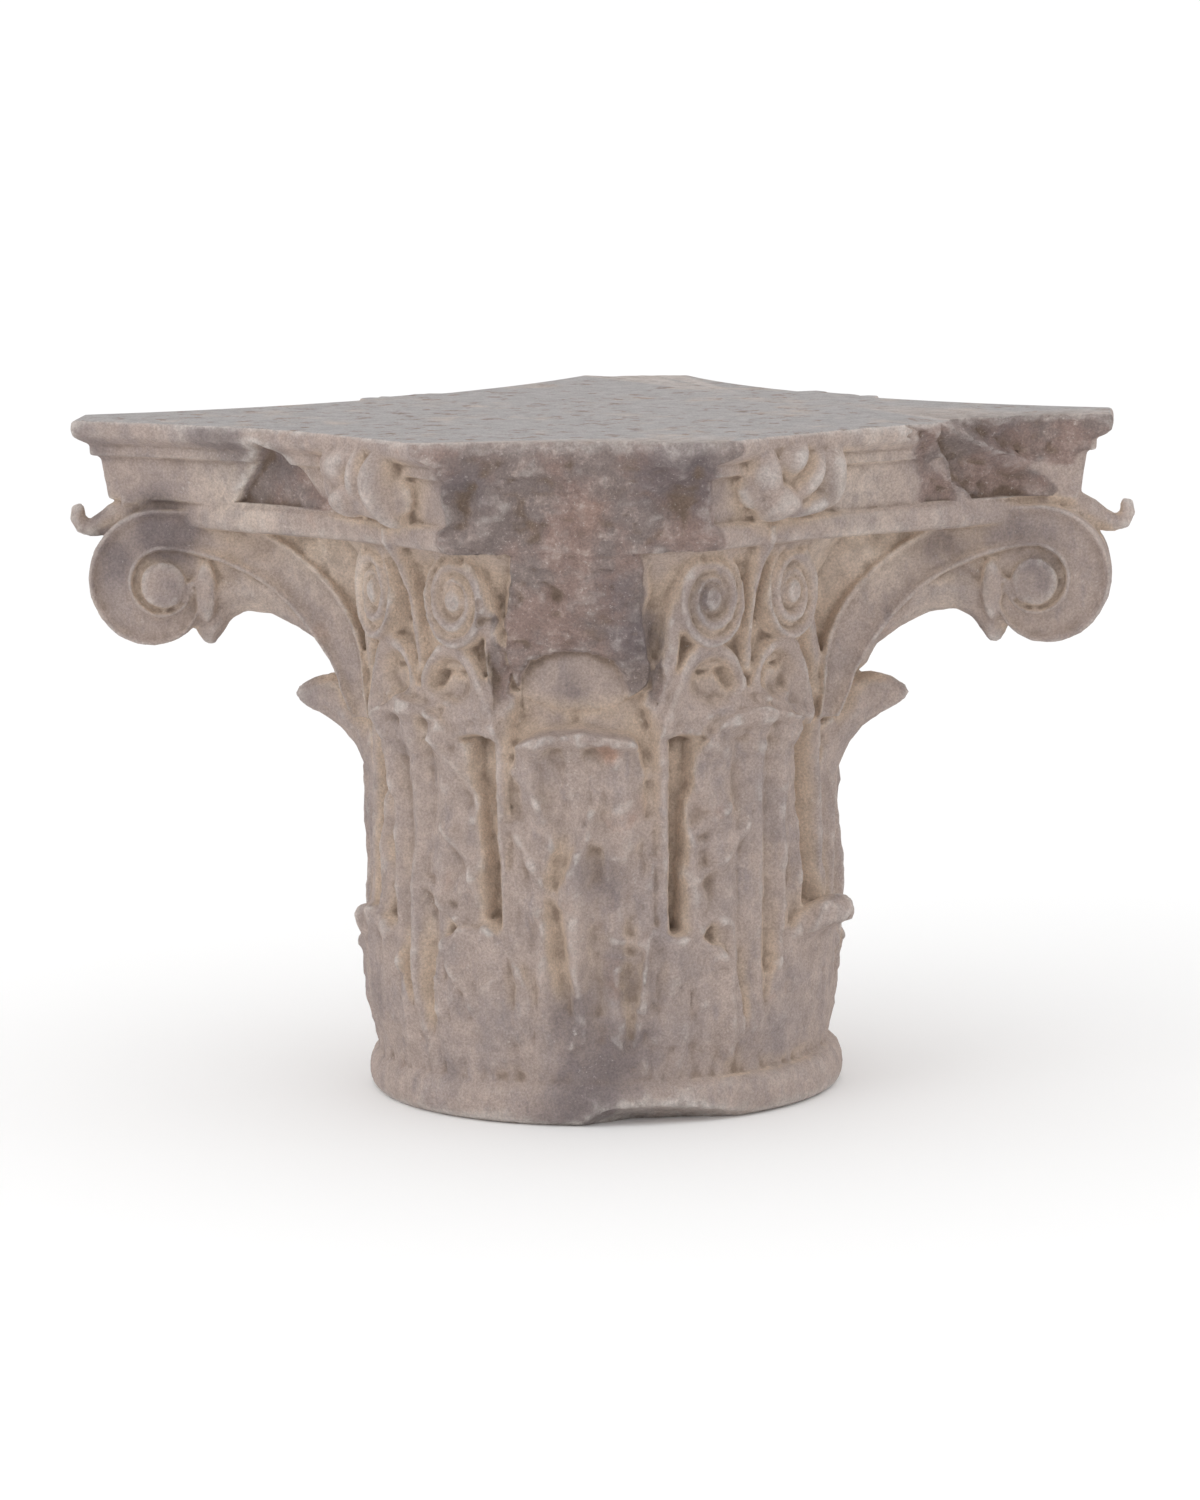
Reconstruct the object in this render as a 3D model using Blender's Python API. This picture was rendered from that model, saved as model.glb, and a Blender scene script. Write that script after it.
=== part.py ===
# A carved stone column capital with two rows of leaves, corner scrolls and a
# hollow-sided top slab, worn and broken as it was found. One block, one solid.
# The lower bed is centred on the origin, the faces look along X and Y, and the
# broken corner is the one between +X and -Y. All sizes are in metres.
import math

import bpy
import bmesh
import numpy as np
from mathutils import Vector, noise

for old in list(bpy.data.objects):
    bpy.data.objects.remove(old, do_unlink=True)

# Whole block, with the bell that carries everything else
HEIGHT = 0.638
BELL_RADIUS = 0.197
MOUTH_FLARE = 0.053
BELL_MOUTH = BELL_RADIUS + MOUTH_FLARE

# Foot ring
RING_STAND = 0.029
RING_RADIUS = BELL_RADIUS + RING_STAND
RING_HEIGHT = 0.035

# Top slab: ovolo, fillet and fascia, hollow on all four sides
SLAB_HEIGHT = 0.077
OVOLO_HEIGHT = 0.023
FILLET_HEIGHT = 0.011
FACE_MID = 0.292
HORN_REACH = 0.497
HORN_HALF = 0.033
FILLET_SETBACK = 0.017
FASCIA_SETBACK = 0.028
FASCIA_LEAN = 0.006

# Lip of the bell, just under the slab
LIP_HEIGHT = 0.025
LIP_MID = 0.263
LIP_HALF_LENGTH = 0.215

# Leaves
LEAF_STAND = 0.022
LEAF_RADIUS = BELL_RADIUS + LEAF_STAND
UPPER_LEAF_TOP = 0.603 * HEIGHT
LOWER_LEAF_TOP = 0.296 * HEIGHT
LEAF_THICKNESS = 0.027
UPPER_LEAF_HALF = 0.074
LOWER_LEAF_HALF = 0.072

# Stalks between the leaves
STALK_ANGLE = 24.0
STALK_WIDTH = 0.024
STALK_TOP = 0.610 * HEIGHT

# Corner scrolls, whose stalks leave the bell at their root
SCROLL_SETBACK = 0.073
SCROLL_REACH = HORN_REACH - SCROLL_SETBACK
SCROLL_ROOT = BELL_RADIUS + 0.027
SCROLL_RUN = SCROLL_REACH - SCROLL_ROOT
SCROLL_LEVEL = 0.748 * HEIGHT
SCROLL_RADIUS = 0.063
SCROLL_OFFSET = 0.037
BAND_WIDTH = 0.034
EYE_RADIUS = 0.023

# Small scrolls in the middle of each face
HELIX_SIDE = 0.041
HELIX_LEVEL = 0.765 * HEIGHT
HELIX_WIDE = 0.029
HELIX_TALL = 0.037
HELIX_BAND = 0.016
HELIX_RADIUS = BELL_RADIUS + 0.036
CALYX_RADIUS = BELL_RADIUS + 0.027
STEM_RADIUS = BELL_RADIUS + 0.031

# Flower lumps on the slab
FLOWER_HALF = 0.054
FLOWER_DEPTH = 0.036

# Breaks
BREAK_TOP = 0.283
BREAK_ROUGH = 0.013
BACK_HORN_REACH = 0.455

# Mesh fineness
VOXEL = 0.005
KEEP = 0.029

SLAB_FOOT = HEIGHT - SLAB_HEIGHT
LIP_FOOT = SLAB_FOOT - LIP_HEIGHT
CORNER_ANGLES = (45.0, 135.0, -135.0, -45.0)
FACE_ANGLES = (0.0, 90.0, 180.0, -90.0)
BROKEN_CORNER = -45.0


def rotated(points, degrees):
    """Turn an array of points about the vertical axis."""
    c, s = math.cos(math.radians(degrees)), math.sin(math.radians(degrees))
    p = np.asarray(points, dtype=float)
    out = p.copy()
    out[..., 0] = p[..., 0] * c - p[..., 1] * s
    out[..., 1] = p[..., 0] * s + p[..., 1] * c
    return out


def between(x, xs, ys):
    """Straight-line interpolation through a few named stations."""
    return float(np.interp(x, xs, ys))


def make_object(name, verts, faces):
    """A closed mesh object with its faces turned outward."""
    mesh = bpy.data.meshes.new(name)
    mesh.from_pydata([tuple(v) for v in verts], [], faces)
    bm = bmesh.new()
    bm.from_mesh(mesh)
    bmesh.ops.remove_doubles(bm, verts=bm.verts, dist=1e-6)
    bmesh.ops.recalc_face_normals(bm, faces=bm.faces)
    bm.to_mesh(mesh)
    bm.free()
    ob = bpy.data.objects.new(name, mesh)
    bpy.context.scene.collection.objects.link(ob)
    return ob


def sheet(front, back):
    """Vertices and faces of the solid between two grids of the same shape."""
    n, m = front.shape[:2]
    verts = np.concatenate([front.reshape(-1, 3), back.reshape(-1, 3)])
    far = n * m
    faces = []
    for i in range(n - 1):
        for j in range(m - 1):
            a, b = i * m + j, i * m + j + 1
            c, d = a + m + 1, a + m
            faces.append((a, b, c, d))
            faces.append((far + d, far + c, far + b, far + a))
    rim = [j for j in range(m)]
    rim += [i * m + m - 1 for i in range(1, n)]
    rim += [(n - 1) * m + j for j in range(m - 2, -1, -1)]
    rim += [i * m for i in range(n - 2, 0, -1)]
    for k, a in enumerate(rim):
        b = rim[(k + 1) % len(rim)]
        faces.append((b, a, far + a, far + b))
    return verts, faces


def tube(centres, sides, depths, wide, deep):
    """A band with a rounded section swept along a path, closed at both ends."""
    ring = []
    for k in range(10):
        a = 2 * math.pi * k / 10
        ca, sa = math.cos(a), math.sin(a)
        ring.append((math.copysign(abs(ca) ** 0.6, ca), math.copysign(abs(sa) ** 0.6, sa)))
    verts, faces = [], []
    for p, side, out, w, d in zip(centres, sides, depths, wide, deep):
        for x, y in ring:
            verts.append(np.asarray(p) + np.asarray(side) * x * w / 2 + np.asarray(out) * y * d / 2)
    count = len(ring)
    for i in range(len(centres) - 1):
        for k in range(count):
            a, b = i * count + k, i * count + (k + 1) % count
            faces.append((a, b, b + count, a + count))
    faces.append(tuple(range(count))[::-1])
    last = (len(centres) - 1) * count
    faces.append(tuple(last + k for k in range(count)))
    return verts, faces


class Heap:
    """Gathers overlapping closed forms that are melted into one body later."""

    def __init__(self):
        self.verts = []
        self.faces = []

    def add(self, form, degrees=0.0):
        verts, faces = form
        base = len(self.verts)
        self.verts.extend(rotated(np.array(verts), degrees))
        self.faces.extend([tuple(base + i for i in f) for f in faces])


def revolve(profile, steps=96):
    """A closed solid of revolution from (radius, height) stations, foot first."""
    verts, faces = [], []
    for radius, z in profile:
        for k in range(steps):
            a = 2 * math.pi * k / steps
            verts.append((radius * math.cos(a), radius * math.sin(a), z))
    for i in range(len(profile) - 1):
        for k in range(steps):
            a, b = i * steps + k, i * steps + (k + 1) % steps
            faces.append((a, b, b + steps, a + steps))
    faces.append(tuple(range(steps))[::-1])
    last = (len(profile) - 1) * steps
    faces.append(tuple(last + k for k in range(steps)))
    return verts, faces


def leaf(top, half, curl, tongue, flare, proud, tip, seed):
    """One leaf facing +X: it stands against the bell and rolls outward at its top.

    curl is the angle of the roll in degrees, tongue the thickness at the tip,
    proud how far the leaf stands out from the upper row, tip how broad it ends.
    """
    stand = LEAF_RADIUS + proud
    rows, cols = 46, 33
    root = RING_HEIGHT * 0.6
    start = top - flare - tongue
    front = np.zeros((rows, cols, 3))
    back = np.zeros((rows, cols, 3))
    straight = 28
    for i in range(rows):
        if i < straight:
            t = i / (straight - 1)
            z = root + (start - root) * t
            r = stand
            rb, zb = r - LEAF_THICKNESS, z
            width = half * between(t, (0, 0.35, 0.8, 1), (1.05, 1.0, 0.86, 0.72))
        else:
            t = (i - straight + 1) / (rows - straight)
            phi = math.radians(curl) * t
            thick = LEAF_THICKNESS * (1 - t) + tongue * t
            r = stand + flare * (1 - math.cos(phi))
            z = start + flare * math.sin(phi)
            rb = stand + flare - (flare + thick) * math.cos(phi)
            zb = start + (flare + thick) * math.sin(phi)
            width = half * between(t, (0, 0.5, 0.85, 1), (0.72, 0.60 * tip, 0.50 * tip, 0.34 * tip))
        along = i / (rows - 1)
        rolled = max(0.0, (i - straight) / (rows - straight))
        for j in range(cols):
            a = 2 * j / (cols - 1) - 1
            scallop = 1 + 0.07 * math.cos(2 * math.pi * 4.5 * along) * abs(a)
            worn = 0.5 + 0.5 * rough(a, along, seed, 0.45, 0.7)
            flute = 0.005 * worn * math.cos(math.pi * 3 * abs(a) * (1.3 - 0.5 * along))
            midrib = 0.005 * math.exp(-(a / 0.14) ** 2)
            fall = -0.012 * abs(a) ** 3
            droop = 0.022 * rolled * a * a
            angle = a * width * scallop / r
            rf = r + (flute + midrib) * (1 - rolled) + fall - droop
            front[i, j] = (rf * math.cos(angle), rf * math.sin(angle), z - droop)
            back[i, j] = ((rb - droop) * math.cos(angle), (rb - droop) * math.sin(angle), zb - droop)
    return sheet(front, back)


def stalk_side(u):
    """Sideways place of the stalk's outer face, measured from the corner plane."""
    root = SCROLL_REACH - 1.08 * SCROLL_RUN
    free = SCROLL_REACH - 0.47 * SCROLL_RUN
    share = min(max((free - u) / (free - root), 0.0), 1.2)
    return SCROLL_OFFSET + 0.049 * share ** 1.6


def scroll(side):
    """Corner stalk and scroll in the frame of a corner whose plane is XZ.

    side is +1 or -1: which of the two faces beside the corner it belongs to.
    """
    cx, cz = SCROLL_REACH, SCROLL_LEVEL
    path = [(-1.0, -0.110), (-0.95, -0.082), (-0.875, -0.045), (-0.755, -0.013)]
    path += [(-0.61, 0.010), (-0.44, 0.029), (-0.24, 0.042), (-0.10, 0.0475)]
    path = [(share * SCROLL_RUN, rise) for share, rise in path]
    widths = [0.022, 0.026, 0.030, BAND_WIDTH, BAND_WIDTH, BAND_WIDTH, BAND_WIDTH, 0.033]
    turns = 15
    for k in range(turns):
        phi = math.radians(90 - 26 * k)
        share = k / (turns - 1)
        mid = (SCROLL_RADIUS - 0.0165) * (1 - share) + (EYE_RADIUS + 0.004) * share ** 0.8
        path.append((mid * math.cos(phi), mid * math.sin(phi)))
        widths.append(0.033 * (1 - share) + 0.010 * share)
    centres, sides, outs, deep = [], [], [], []
    for k, (du, dz) in enumerate(path):
        u = cx + du
        n = stalk_side(u)
        a = path[max(k - 1, 0)]
        b = path[min(k + 1, len(path) - 1)]
        tu, tz = b[0] - a[0], b[1] - a[1]
        length = math.hypot(tu, tz)
        thick = 0.040
        slope = (stalk_side(u + 0.004) - stalk_side(u - 0.004)) / 0.008
        out = np.array([-slope, 1.0, 0.0]) / math.hypot(slope, 1.0)
        across = np.array([-tz / length, -tz / length * slope, tu / length])
        centre = np.array([u, n, cz + dz]) - out * thick / 2
        mirror = np.array([1.0, side, 1.0])
        centres.append(centre * mirror)
        sides.append(across * mirror)
        outs.append(out * mirror)
        deep.append(thick)
    return tube(centres, sides, outs, widths, deep)


def disc(side, radius, face):
    """A short round plug standing on the corner plane: scroll ground or eye."""
    verts, faces = [], []
    steps = 40
    for level, scale in ((-0.004, 1.0), (face - 0.004, 1.0), (face, 0.85)):
        for k in range(steps):
            a = 2 * math.pi * k / steps
            u = SCROLL_REACH + radius * scale * math.cos(a)
            z = SCROLL_LEVEL + radius * scale * math.sin(a)
            verts.append((u, side * level, z))
    for i in range(2):
        for k in range(steps):
            a, b = i * steps + k, i * steps + (k + 1) % steps
            faces.append((a, b, b + steps, a + steps))
    faces.append(tuple(range(steps))[::-1])
    faces.append(tuple(2 * steps + k for k in range(steps)))
    return verts, faces


def corner_core():
    """The stone between two back-to-back scrolls, with the leaf under them."""
    stations = 30
    front = np.zeros((stations, 9, 3))
    back = np.zeros((stations, 9, 3))
    places = (-0.32, 0.04, 0.14, 0.19, 0.31, 0.44, 0.56, 0.66, 0.71, 0.76, 0.88, 1.16)
    drops = (0.117, 0.105, 0.085, 0.065, 0.048, 0.035, 0.034, 0.045, 0.053, 0.037, 0.007, -0.023)
    for i in range(stations):
        share = places[0] + (places[-1] - places[0]) * i / (stations - 1)
        low = SCROLL_LEVEL - between(share, places, drops)
        high = SLAB_FOOT + 0.006
        half = between(share, (-0.32, 0.03, 0.38, 0.68, 1.18), (0.085, 0.062, 0.036, 0.026, 0.020))
        u = SCROLL_ROOT + share * SCROLL_RUN
        for j in range(9):
            t = j / 8
            z = low + (high - low) * t
            narrow = half * between(t, (0, 0.15, 0.5, 1), (0.35, 0.80, 0.9, 0.95))
            front[i, j] = (u, narrow, z)
            back[i, j] = (u, -narrow, z)
    return sheet(front, back)


def hook():
    """The small leaf tip that curls up outside the corner scrolls."""
    root = HORN_REACH - 0.045
    stations = ((-0.014, -0.010), (0.016, -0.018), (0.030, -0.026), (0.040, -0.026))
    stations += ((0.046, -0.016), (0.043, -0.008))
    centres = [(root + u, 0.0, SLAB_FOOT + z) for u, z in stations]
    wide = (0.030, 0.026, 0.022, 0.018, 0.014, 0.008)
    deep = (0.020, 0.018, 0.014, 0.012, 0.011, 0.007)
    sides = [(0.0, 1.0, 0.0)] * len(stations)
    outs = []
    for k in range(len(stations)):
        a, b = stations[max(k - 1, 0)], stations[min(k + 1, len(stations) - 1)]
        tu, tz = b[0] - a[0], b[1] - a[1]
        length = math.hypot(tu, tz)
        outs.append((-tz / length, 0.0, tu / length))
    return tube(centres, sides, outs, wide, deep)


def on_bell(y, z, radius):
    """Point and outward direction on an upright cylinder facing +X."""
    angle = y / radius
    out = np.array([math.cos(angle), math.sin(angle), 0.0])
    return np.array([radius * out[0], radius * out[1], z]), out


def bell_band(points, widths, radius, thick):
    """A band laid on the bell through (sideways, level) points, facing +X."""
    centres, sides, outs = [], [], []
    for k, (y, z) in enumerate(points):
        p, out = on_bell(y, z, radius)
        a = points[max(k - 1, 0)]
        b = points[min(k + 1, len(points) - 1)]
        ty, tz = b[0] - a[0], b[1] - a[1]
        length = math.hypot(ty, tz)
        turn = np.array([-out[1], out[0], 0.0])
        centres.append(p - out * thick / 2)
        sides.append(turn * (-tz / length) + np.array([0, 0, ty / length]))
        outs.append(out)
    return tube(centres, sides, outs, widths, [thick] * len(points))


def helix(side):
    """Small scroll beside the middle of a face, on its own stem."""
    cy, cz = HELIX_SIDE, HELIX_LEVEL
    points = [(0.088, STALK_TOP - 0.004), (0.089, STALK_TOP + 0.030), (0.084, cz - 0.035)]
    points += [(0.078, cz - 0.008)]
    widths = [0.022, 0.018, HELIX_BAND, HELIX_BAND]
    turns = 16
    for k in range(turns):
        phi = math.radians(10 + 27 * k)
        share = k / (turns - 1)
        wide = HELIX_WIDE * (1 - share) + 0.008 * share
        tall = HELIX_TALL * (1 - share) + 0.010 * share
        points.append((cy + wide * math.cos(phi), cz + tall * math.sin(phi)))
        widths.append(HELIX_BAND * (1 - 0.45 * share))
    points = [(side * y, z) for y, z in points]
    return bell_band(points, widths, HELIX_RADIUS, 0.028)


def calyx(side):
    """Arched inner leaf of the sheath that the stems grow from."""
    top = STALK_TOP
    points = [(0.090, top - 0.012), (0.080, top + 0.022), (0.062, top + 0.050)]
    points += [(0.042, top + 0.058), (0.024, top + 0.046), (0.012, top + 0.024)]
    points = [(side * y, z) for y, z in points]
    widths = (0.034, 0.030, 0.024, 0.020, 0.018, 0.014)
    return bell_band(points, widths, CALYX_RADIUS, 0.030)


def stalk(side):
    """Upright stalk between two leaves, with a collar at its top."""
    y = LEAF_RADIUS * math.radians(STALK_ANGLE) * side
    levels = (0.17, 0.25, 0.40, 0.52, 0.572, 0.590, 0.612)
    wide = (1.0, 0.95, 0.95, 1.05, 1.15, 1.50, 1.30)
    points = [(y, share * HEIGHT) for share in levels]
    widths = [STALK_WIDTH * w for w in wide]
    return bell_band(points, widths, LEAF_RADIUS + 0.002, 0.030)


def flower():
    """Worn flower lump in the middle of a slab side, facing +X."""
    rows, cols = 17, 32
    verts, faces = [], []
    mid = (SLAB_FOOT + HEIGHT) / 2 - 0.002
    for i in range(rows):
        lat = math.pi * i / (rows - 1) - math.pi / 2
        for j in range(cols):
            lon = 2 * math.pi * j / cols
            petals = 1 + 0.10 * math.cos(5 * lon + 0.6) * math.cos(lat)
            side = FLOWER_HALF * math.cos(lat) * math.cos(lon) * petals
            rise = (SLAB_HEIGHT / 2 + 0.002) * math.cos(lat) * math.sin(lon) * petals
            dent = 1 - 0.22 * math.exp(-((math.cos(lat) / 0.25) ** 2))
            out = FACE_MID - 0.025 + FLOWER_DEPTH * math.sin(lat) * dent
            verts.append((out, side, min(mid + rise, HEIGHT - 0.001)))
    for i in range(rows - 1):
        for j in range(cols):
            a, b = i * cols + j, i * cols + (j + 1) % cols
            faces.append((a, b, b + cols, a + cols))
    return verts, faces


def hollow_side(y, inset):
    """Distance out of a hollow slab side at a place y along it."""
    end_x = (HORN_REACH + HORN_HALF) / math.sqrt(2)
    end_y = (HORN_REACH - HORN_HALF) / math.sqrt(2)
    sag = end_x - FACE_MID
    radius = (end_y ** 2 + sag ** 2) / (2 * sag)
    return FACE_MID - inset + radius - math.sqrt(radius ** 2 - y ** 2)


def slab_outline(inset, steps=14):
    """Plan of the slab as a closed loop of points, set back by inset."""
    end_y = (HORN_REACH - HORN_HALF) / math.sqrt(2)
    side = []
    for k in range(steps + 1):
        y = end_y * (2 * k / steps - 1)
        x = hollow_side(y, inset)
        reach = HORN_REACH - inset * 0.9
        spill = (x + abs(y)) / math.sqrt(2) - reach
        if spill > 0:
            x -= spill / math.sqrt(2)
            y -= math.copysign(spill / math.sqrt(2), y)
        side.append((x, y, 0.0))
    loop = []
    for turn in (0, 90, 180, 270):
        loop.extend(rotated(np.array(side), turn))
    return np.array(loop)


def slab():
    """The whole top slab with its ovolo, fillet and fascia."""
    ovolo_foot = HEIGHT - OVOLO_HEIGHT
    fillet_foot = ovolo_foot - FILLET_HEIGHT
    levels = [(HEIGHT, 0.003), (HEIGHT - 0.004, 0.0), (HEIGHT - 0.55 * OVOLO_HEIGHT, 0.001)]
    levels += [(ovolo_foot + 0.004, 0.007), (ovolo_foot, FILLET_SETBACK - 0.002)]
    levels += [(ovolo_foot - 0.001, FILLET_SETBACK), (fillet_foot, FILLET_SETBACK + 0.001)]
    levels += [(fillet_foot - 0.004, FASCIA_SETBACK), (SLAB_FOOT, FASCIA_SETBACK + FASCIA_LEAN)]
    verts, faces = [], []
    for z, inset in levels:
        loop = slab_outline(inset)
        loop[:, 2] = z
        verts.extend(loop)
    count = len(loop)
    for i in range(len(levels) - 1):
        for k in range(count):
            a, b = i * count + k, i * count + (k + 1) % count
            faces.append((a, b, b + count, a + count))
    faces.append(tuple(range(count)))
    last = (len(levels) - 1) * count
    faces.append(tuple(last + k for k in range(count))[::-1])
    return make_object("slab", verts, faces)


def lip():
    """Lip of the bell: a thin plate with hollow sides and cut corners."""
    side = []
    for k in range(13):
        y = LIP_HALF_LENGTH * (2 * k / 12 - 1)
        side.append((hollow_side(y, FACE_MID - LIP_MID), y, 0.0))
    loop = np.concatenate([rotated(np.array(side), turn) for turn in (0, 90, 180, 270)])
    verts, faces = [], []
    for z, inset in ((LIP_FOOT, 0.006), (LIP_FOOT + 0.006, 0.0), (SLAB_FOOT - 0.004, 0.0), (SLAB_FOOT + 0.004, 0.004)):
        ring = loop * (1 - inset / LIP_MID)
        ring[:, 2] = z
        verts.extend(ring)
    count = len(loop)
    for i in range(3):
        for k in range(count):
            a, b = i * count + k, i * count + (k + 1) % count
            faces.append((a, b, b + count, a + count))
    faces.append(tuple(range(count))[::-1])
    faces.append(tuple(3 * count + k for k in range(count)))
    return verts, faces


def foot_ring():
    """Moulded ring at the foot, with the round lower bed."""
    edge = RING_RADIUS
    profile = [(edge - 0.006, 0.0), (edge - 0.001, 0.007), (edge, 0.014), (edge - 0.003, 0.023)]
    profile += [(edge - 0.009, RING_HEIGHT - 0.004), (edge - 0.016, RING_HEIGHT)]
    verts, faces = revolve(profile, 64)
    return make_object("foot ring", verts, faces)


def rough(x, y, z, size, seed):
    """Smooth noise between about -1 and 1 for broken faces."""
    p = Vector((x / size + seed, y / size - seed, z / size + 0.5 * seed))
    return noise.noise(p) + 0.5 * noise.noise(p * 2.3)


def break_block(name, place, rows, cols):
    """Cutter between the broken face place(i, j) and the same grid pushed out."""
    front = np.zeros((rows, cols, 3))
    back = np.zeros((rows, cols, 3))
    for i in range(rows):
        for j in range(cols):
            front[i, j], back[i, j] = place(i / (rows - 1), j / (cols - 1))
    ob = make_object(name, *sheet(front, back))
    ob.hide_render = True
    ob.display_type = "WIRE"
    return ob


def front_corner(s, t):
    """Broken face where the front corner with its scrolls was lost."""
    z = 0.588 * HEIGHT + (0.445 * HEIGHT) * s
    u = -0.26 + 0.52 * t
    share = z / HEIGHT
    stands = (0.027, 0.026, 0.037, 0.054, BREAK_TOP - BELL_RADIUS)
    deep = BELL_RADIUS + between(share, (0.588, 0.70, 0.77, 0.845, 1.0), stands)
    depth = deep + 0.09 * u * share ** 4 + 0.022 * math.exp(-((u - 0.08) / 0.03) ** 2) * share ** 12
    depth += BREAK_ROUGH * rough(u, 0.0, z, 0.050, 3.1)
    depth = max(depth, BELL_RADIUS + 0.018)
    face = rotated(np.array((depth, u, z)), BROKEN_CORNER + 5.0)
    far = rotated(np.array((0.62, u * 2.2, z)), BROKEN_CORNER + 5.0)
    return face, far


def right_scar(s, t):
    """Broken mouldings on the +X side towards the corner at 45 degrees."""
    z = SLAB_FOOT + 0.006 + (SLAB_HEIGHT + 0.02) * s
    y = 0.130 + 0.200 * t
    bite = 0.040 * math.sin(math.pi * min(max(t, 0.02), 0.98)) ** 0.6 - 0.006
    bite *= 1.0 - 0.45 * s
    x = hollow_side(y, bite) + 0.5 * BREAK_ROUGH * rough(0.0, y, z, 0.035, 7.7)
    return np.array((x, y, z)), np.array((x + 0.16, y - 0.04 * (1 - 2 * t), z))


def left_scar(s, t):
    """Broken fascia on the -Y side, between its flower and the left corner."""
    z = SLAB_FOOT + 0.003 + 0.046 * s
    y = -0.155 + 0.095 * t
    x = hollow_side(y, FASCIA_SETBACK + 0.020 * math.sin(math.pi * t) ** 0.5 - 0.012 * s)
    x += 0.4 * BREAK_ROUGH * rough(0.0, y, z, 0.03, 1.9)
    far = x + 0.012 + 0.02 * (1 - s)
    return rotated(np.array((x, y, z)), -90), rotated(np.array((far, y, z)), -90)


def back_horn(s, t):
    """Blunt broken end of the far corner."""
    z = 0.80 * HEIGHT + 0.25 * HEIGHT * s
    u = -0.16 + 0.32 * t
    depth = BACK_HORN_REACH - 0.25 * max(0.0, abs(u + 0.02) - 0.03) + 0.10 * (z - HEIGHT)
    depth += 0.7 * BREAK_ROUGH * rough(u, 2.0, z, 0.05, 5.3)
    return rotated(np.array((depth, u, z)), 135), rotated(np.array((0.64, u, z)), 135)


def ring_chip(s, t):
    """Lower edge of the foot ring, broken away towards the front right."""
    angle = math.radians(-44.0 + 44.0 * t)
    deep = 0.028 * math.sin(math.pi * min(max(t, 0.03), 0.97)) ** 0.5
    r = RING_RADIUS - deep + 0.034 * s
    z = -0.004 + 0.022 * s
    r += 0.3 * BREAK_ROUGH * rough(t, s, 0.0, 0.3, 2.2)
    face = np.array((r * math.cos(angle), r * math.sin(angle), z))
    low = np.array((0.27 * math.cos(angle), 0.27 * math.sin(angle), -0.02 + 0.012 * s))
    return face, low


def leaf_break(name, degrees, level, lean):
    """Cutter that takes the lost curled tip off one upper leaf."""
    def place(s, t):
        y = -0.095 + 0.19 * t
        r = LEAF_RADIUS - 0.012 + 0.10 * s
        z = level + lean * y + 0.20 * (BELL_RADIUS + 0.02 - r)
        z += 0.8 * BREAK_ROUGH * rough(r, y, degrees, 0.04, 4.4)
        return rotated(np.array((r, y, z)), degrees), rotated(np.array((r, y, z + 0.040)), degrees)
    return break_block(name, place, 6, 12)


heap = Heap()
bell = [(BELL_RADIUS - 0.004, 0.012), (BELL_RADIUS, 0.10), (BELL_RADIUS, 0.50 * HEIGHT)]
bell += [(BELL_RADIUS + 0.006, 0.60 * HEIGHT), (BELL_RADIUS + 0.013, 0.70 * HEIGHT)]
bell += [(BELL_RADIUS + 0.022, 0.77 * HEIGHT), (BELL_RADIUS + 0.035, 0.81 * HEIGHT)]
bell += [(BELL_MOUTH, LIP_FOOT + 0.004), (BELL_MOUTH, SLAB_FOOT + 0.004)]
heap.add(revolve(bell))
heap.add(lip())

for k in range(8):
    heap.add(leaf(UPPER_LEAF_TOP, UPPER_LEAF_HALF, 108, 0.036, 0.040, 0.0, 0.95, k), 45.0 * k)
    heap.add(leaf(LOWER_LEAF_TOP, LOWER_LEAF_HALF, 78, 0.028, 0.012, 0.003, 1.2, k + 9), 45.0 * k + 22.5)

for face in FACE_ANGLES:
    for side in (1, -1):
        heap.add(helix(side), face)
        heap.add(calyx(side), face)
        heap.add(stalk(side), face)
    stem = [(0.0, STALK_TOP - 0.01), (0.0, STALK_TOP + 0.05), (0.0, HELIX_LEVEL), (0.0, LIP_FOOT + 0.01)]
    heap.add(bell_band(stem, (0.060, 0.020, 0.012, 0.016), STEM_RADIUS, 0.030), face)
    heap.add(flower(), face)

for corner in CORNER_ANGLES:
    heap.add(corner_core(), corner)
    for side in (1, -1):
        heap.add(scroll(side), corner)
        heap.add(disc(side, SCROLL_RADIUS - 0.010, SCROLL_OFFSET - 0.010), corner)
        heap.add(disc(side, EYE_RADIUS, SCROLL_OFFSET + 0.001), corner)
    heap.add(hook(), corner)

def melted(ob):
    """Melt the heap into one skin and drop the crumbs, one voxel across, that this leaves."""
    melt = ob.modifiers.new("melt", "REMESH")
    melt.mode = "VOXEL"
    melt.voxel_size = VOXEL
    graph = bpy.context.evaluated_depsgraph_get()
    skin = bpy.data.meshes.new_from_object(ob.evaluated_get(graph))
    ob.modifiers.remove(melt)
    bm = bmesh.new()
    bm.from_mesh(skin)
    seen = set()
    crumbs = []
    for start in bm.verts:
        if start in seen:
            continue
        seen.add(start)
        shell = [start]
        for vert in shell:
            for edge in vert.link_edges:
                other = edge.other_vert(vert)
                if other not in seen:
                    seen.add(other)
                    shell.append(other)
        spread = max((vert.co - start.co).length for vert in shell)
        if spread < 2 * VOXEL:
            crumbs.extend(shell)
    bmesh.ops.delete(bm, geom=crumbs, context="VERTS")
    bm.to_mesh(skin)
    bm.free()
    ob.data = skin


capital = make_object("capital", heap.verts, heap.faces)
melted(capital)
thin = capital.modifiers.new("thin", "DECIMATE")
thin.ratio = KEEP


def combine(other, operation):
    """Add one Boolean step with a helper solid."""
    other.hide_render = True
    other.display_type = "WIRE"
    step = capital.modifiers.new(other.name, "BOOLEAN")
    step.operation = operation
    step.object = other
    step.solver = "EXACT"


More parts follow.
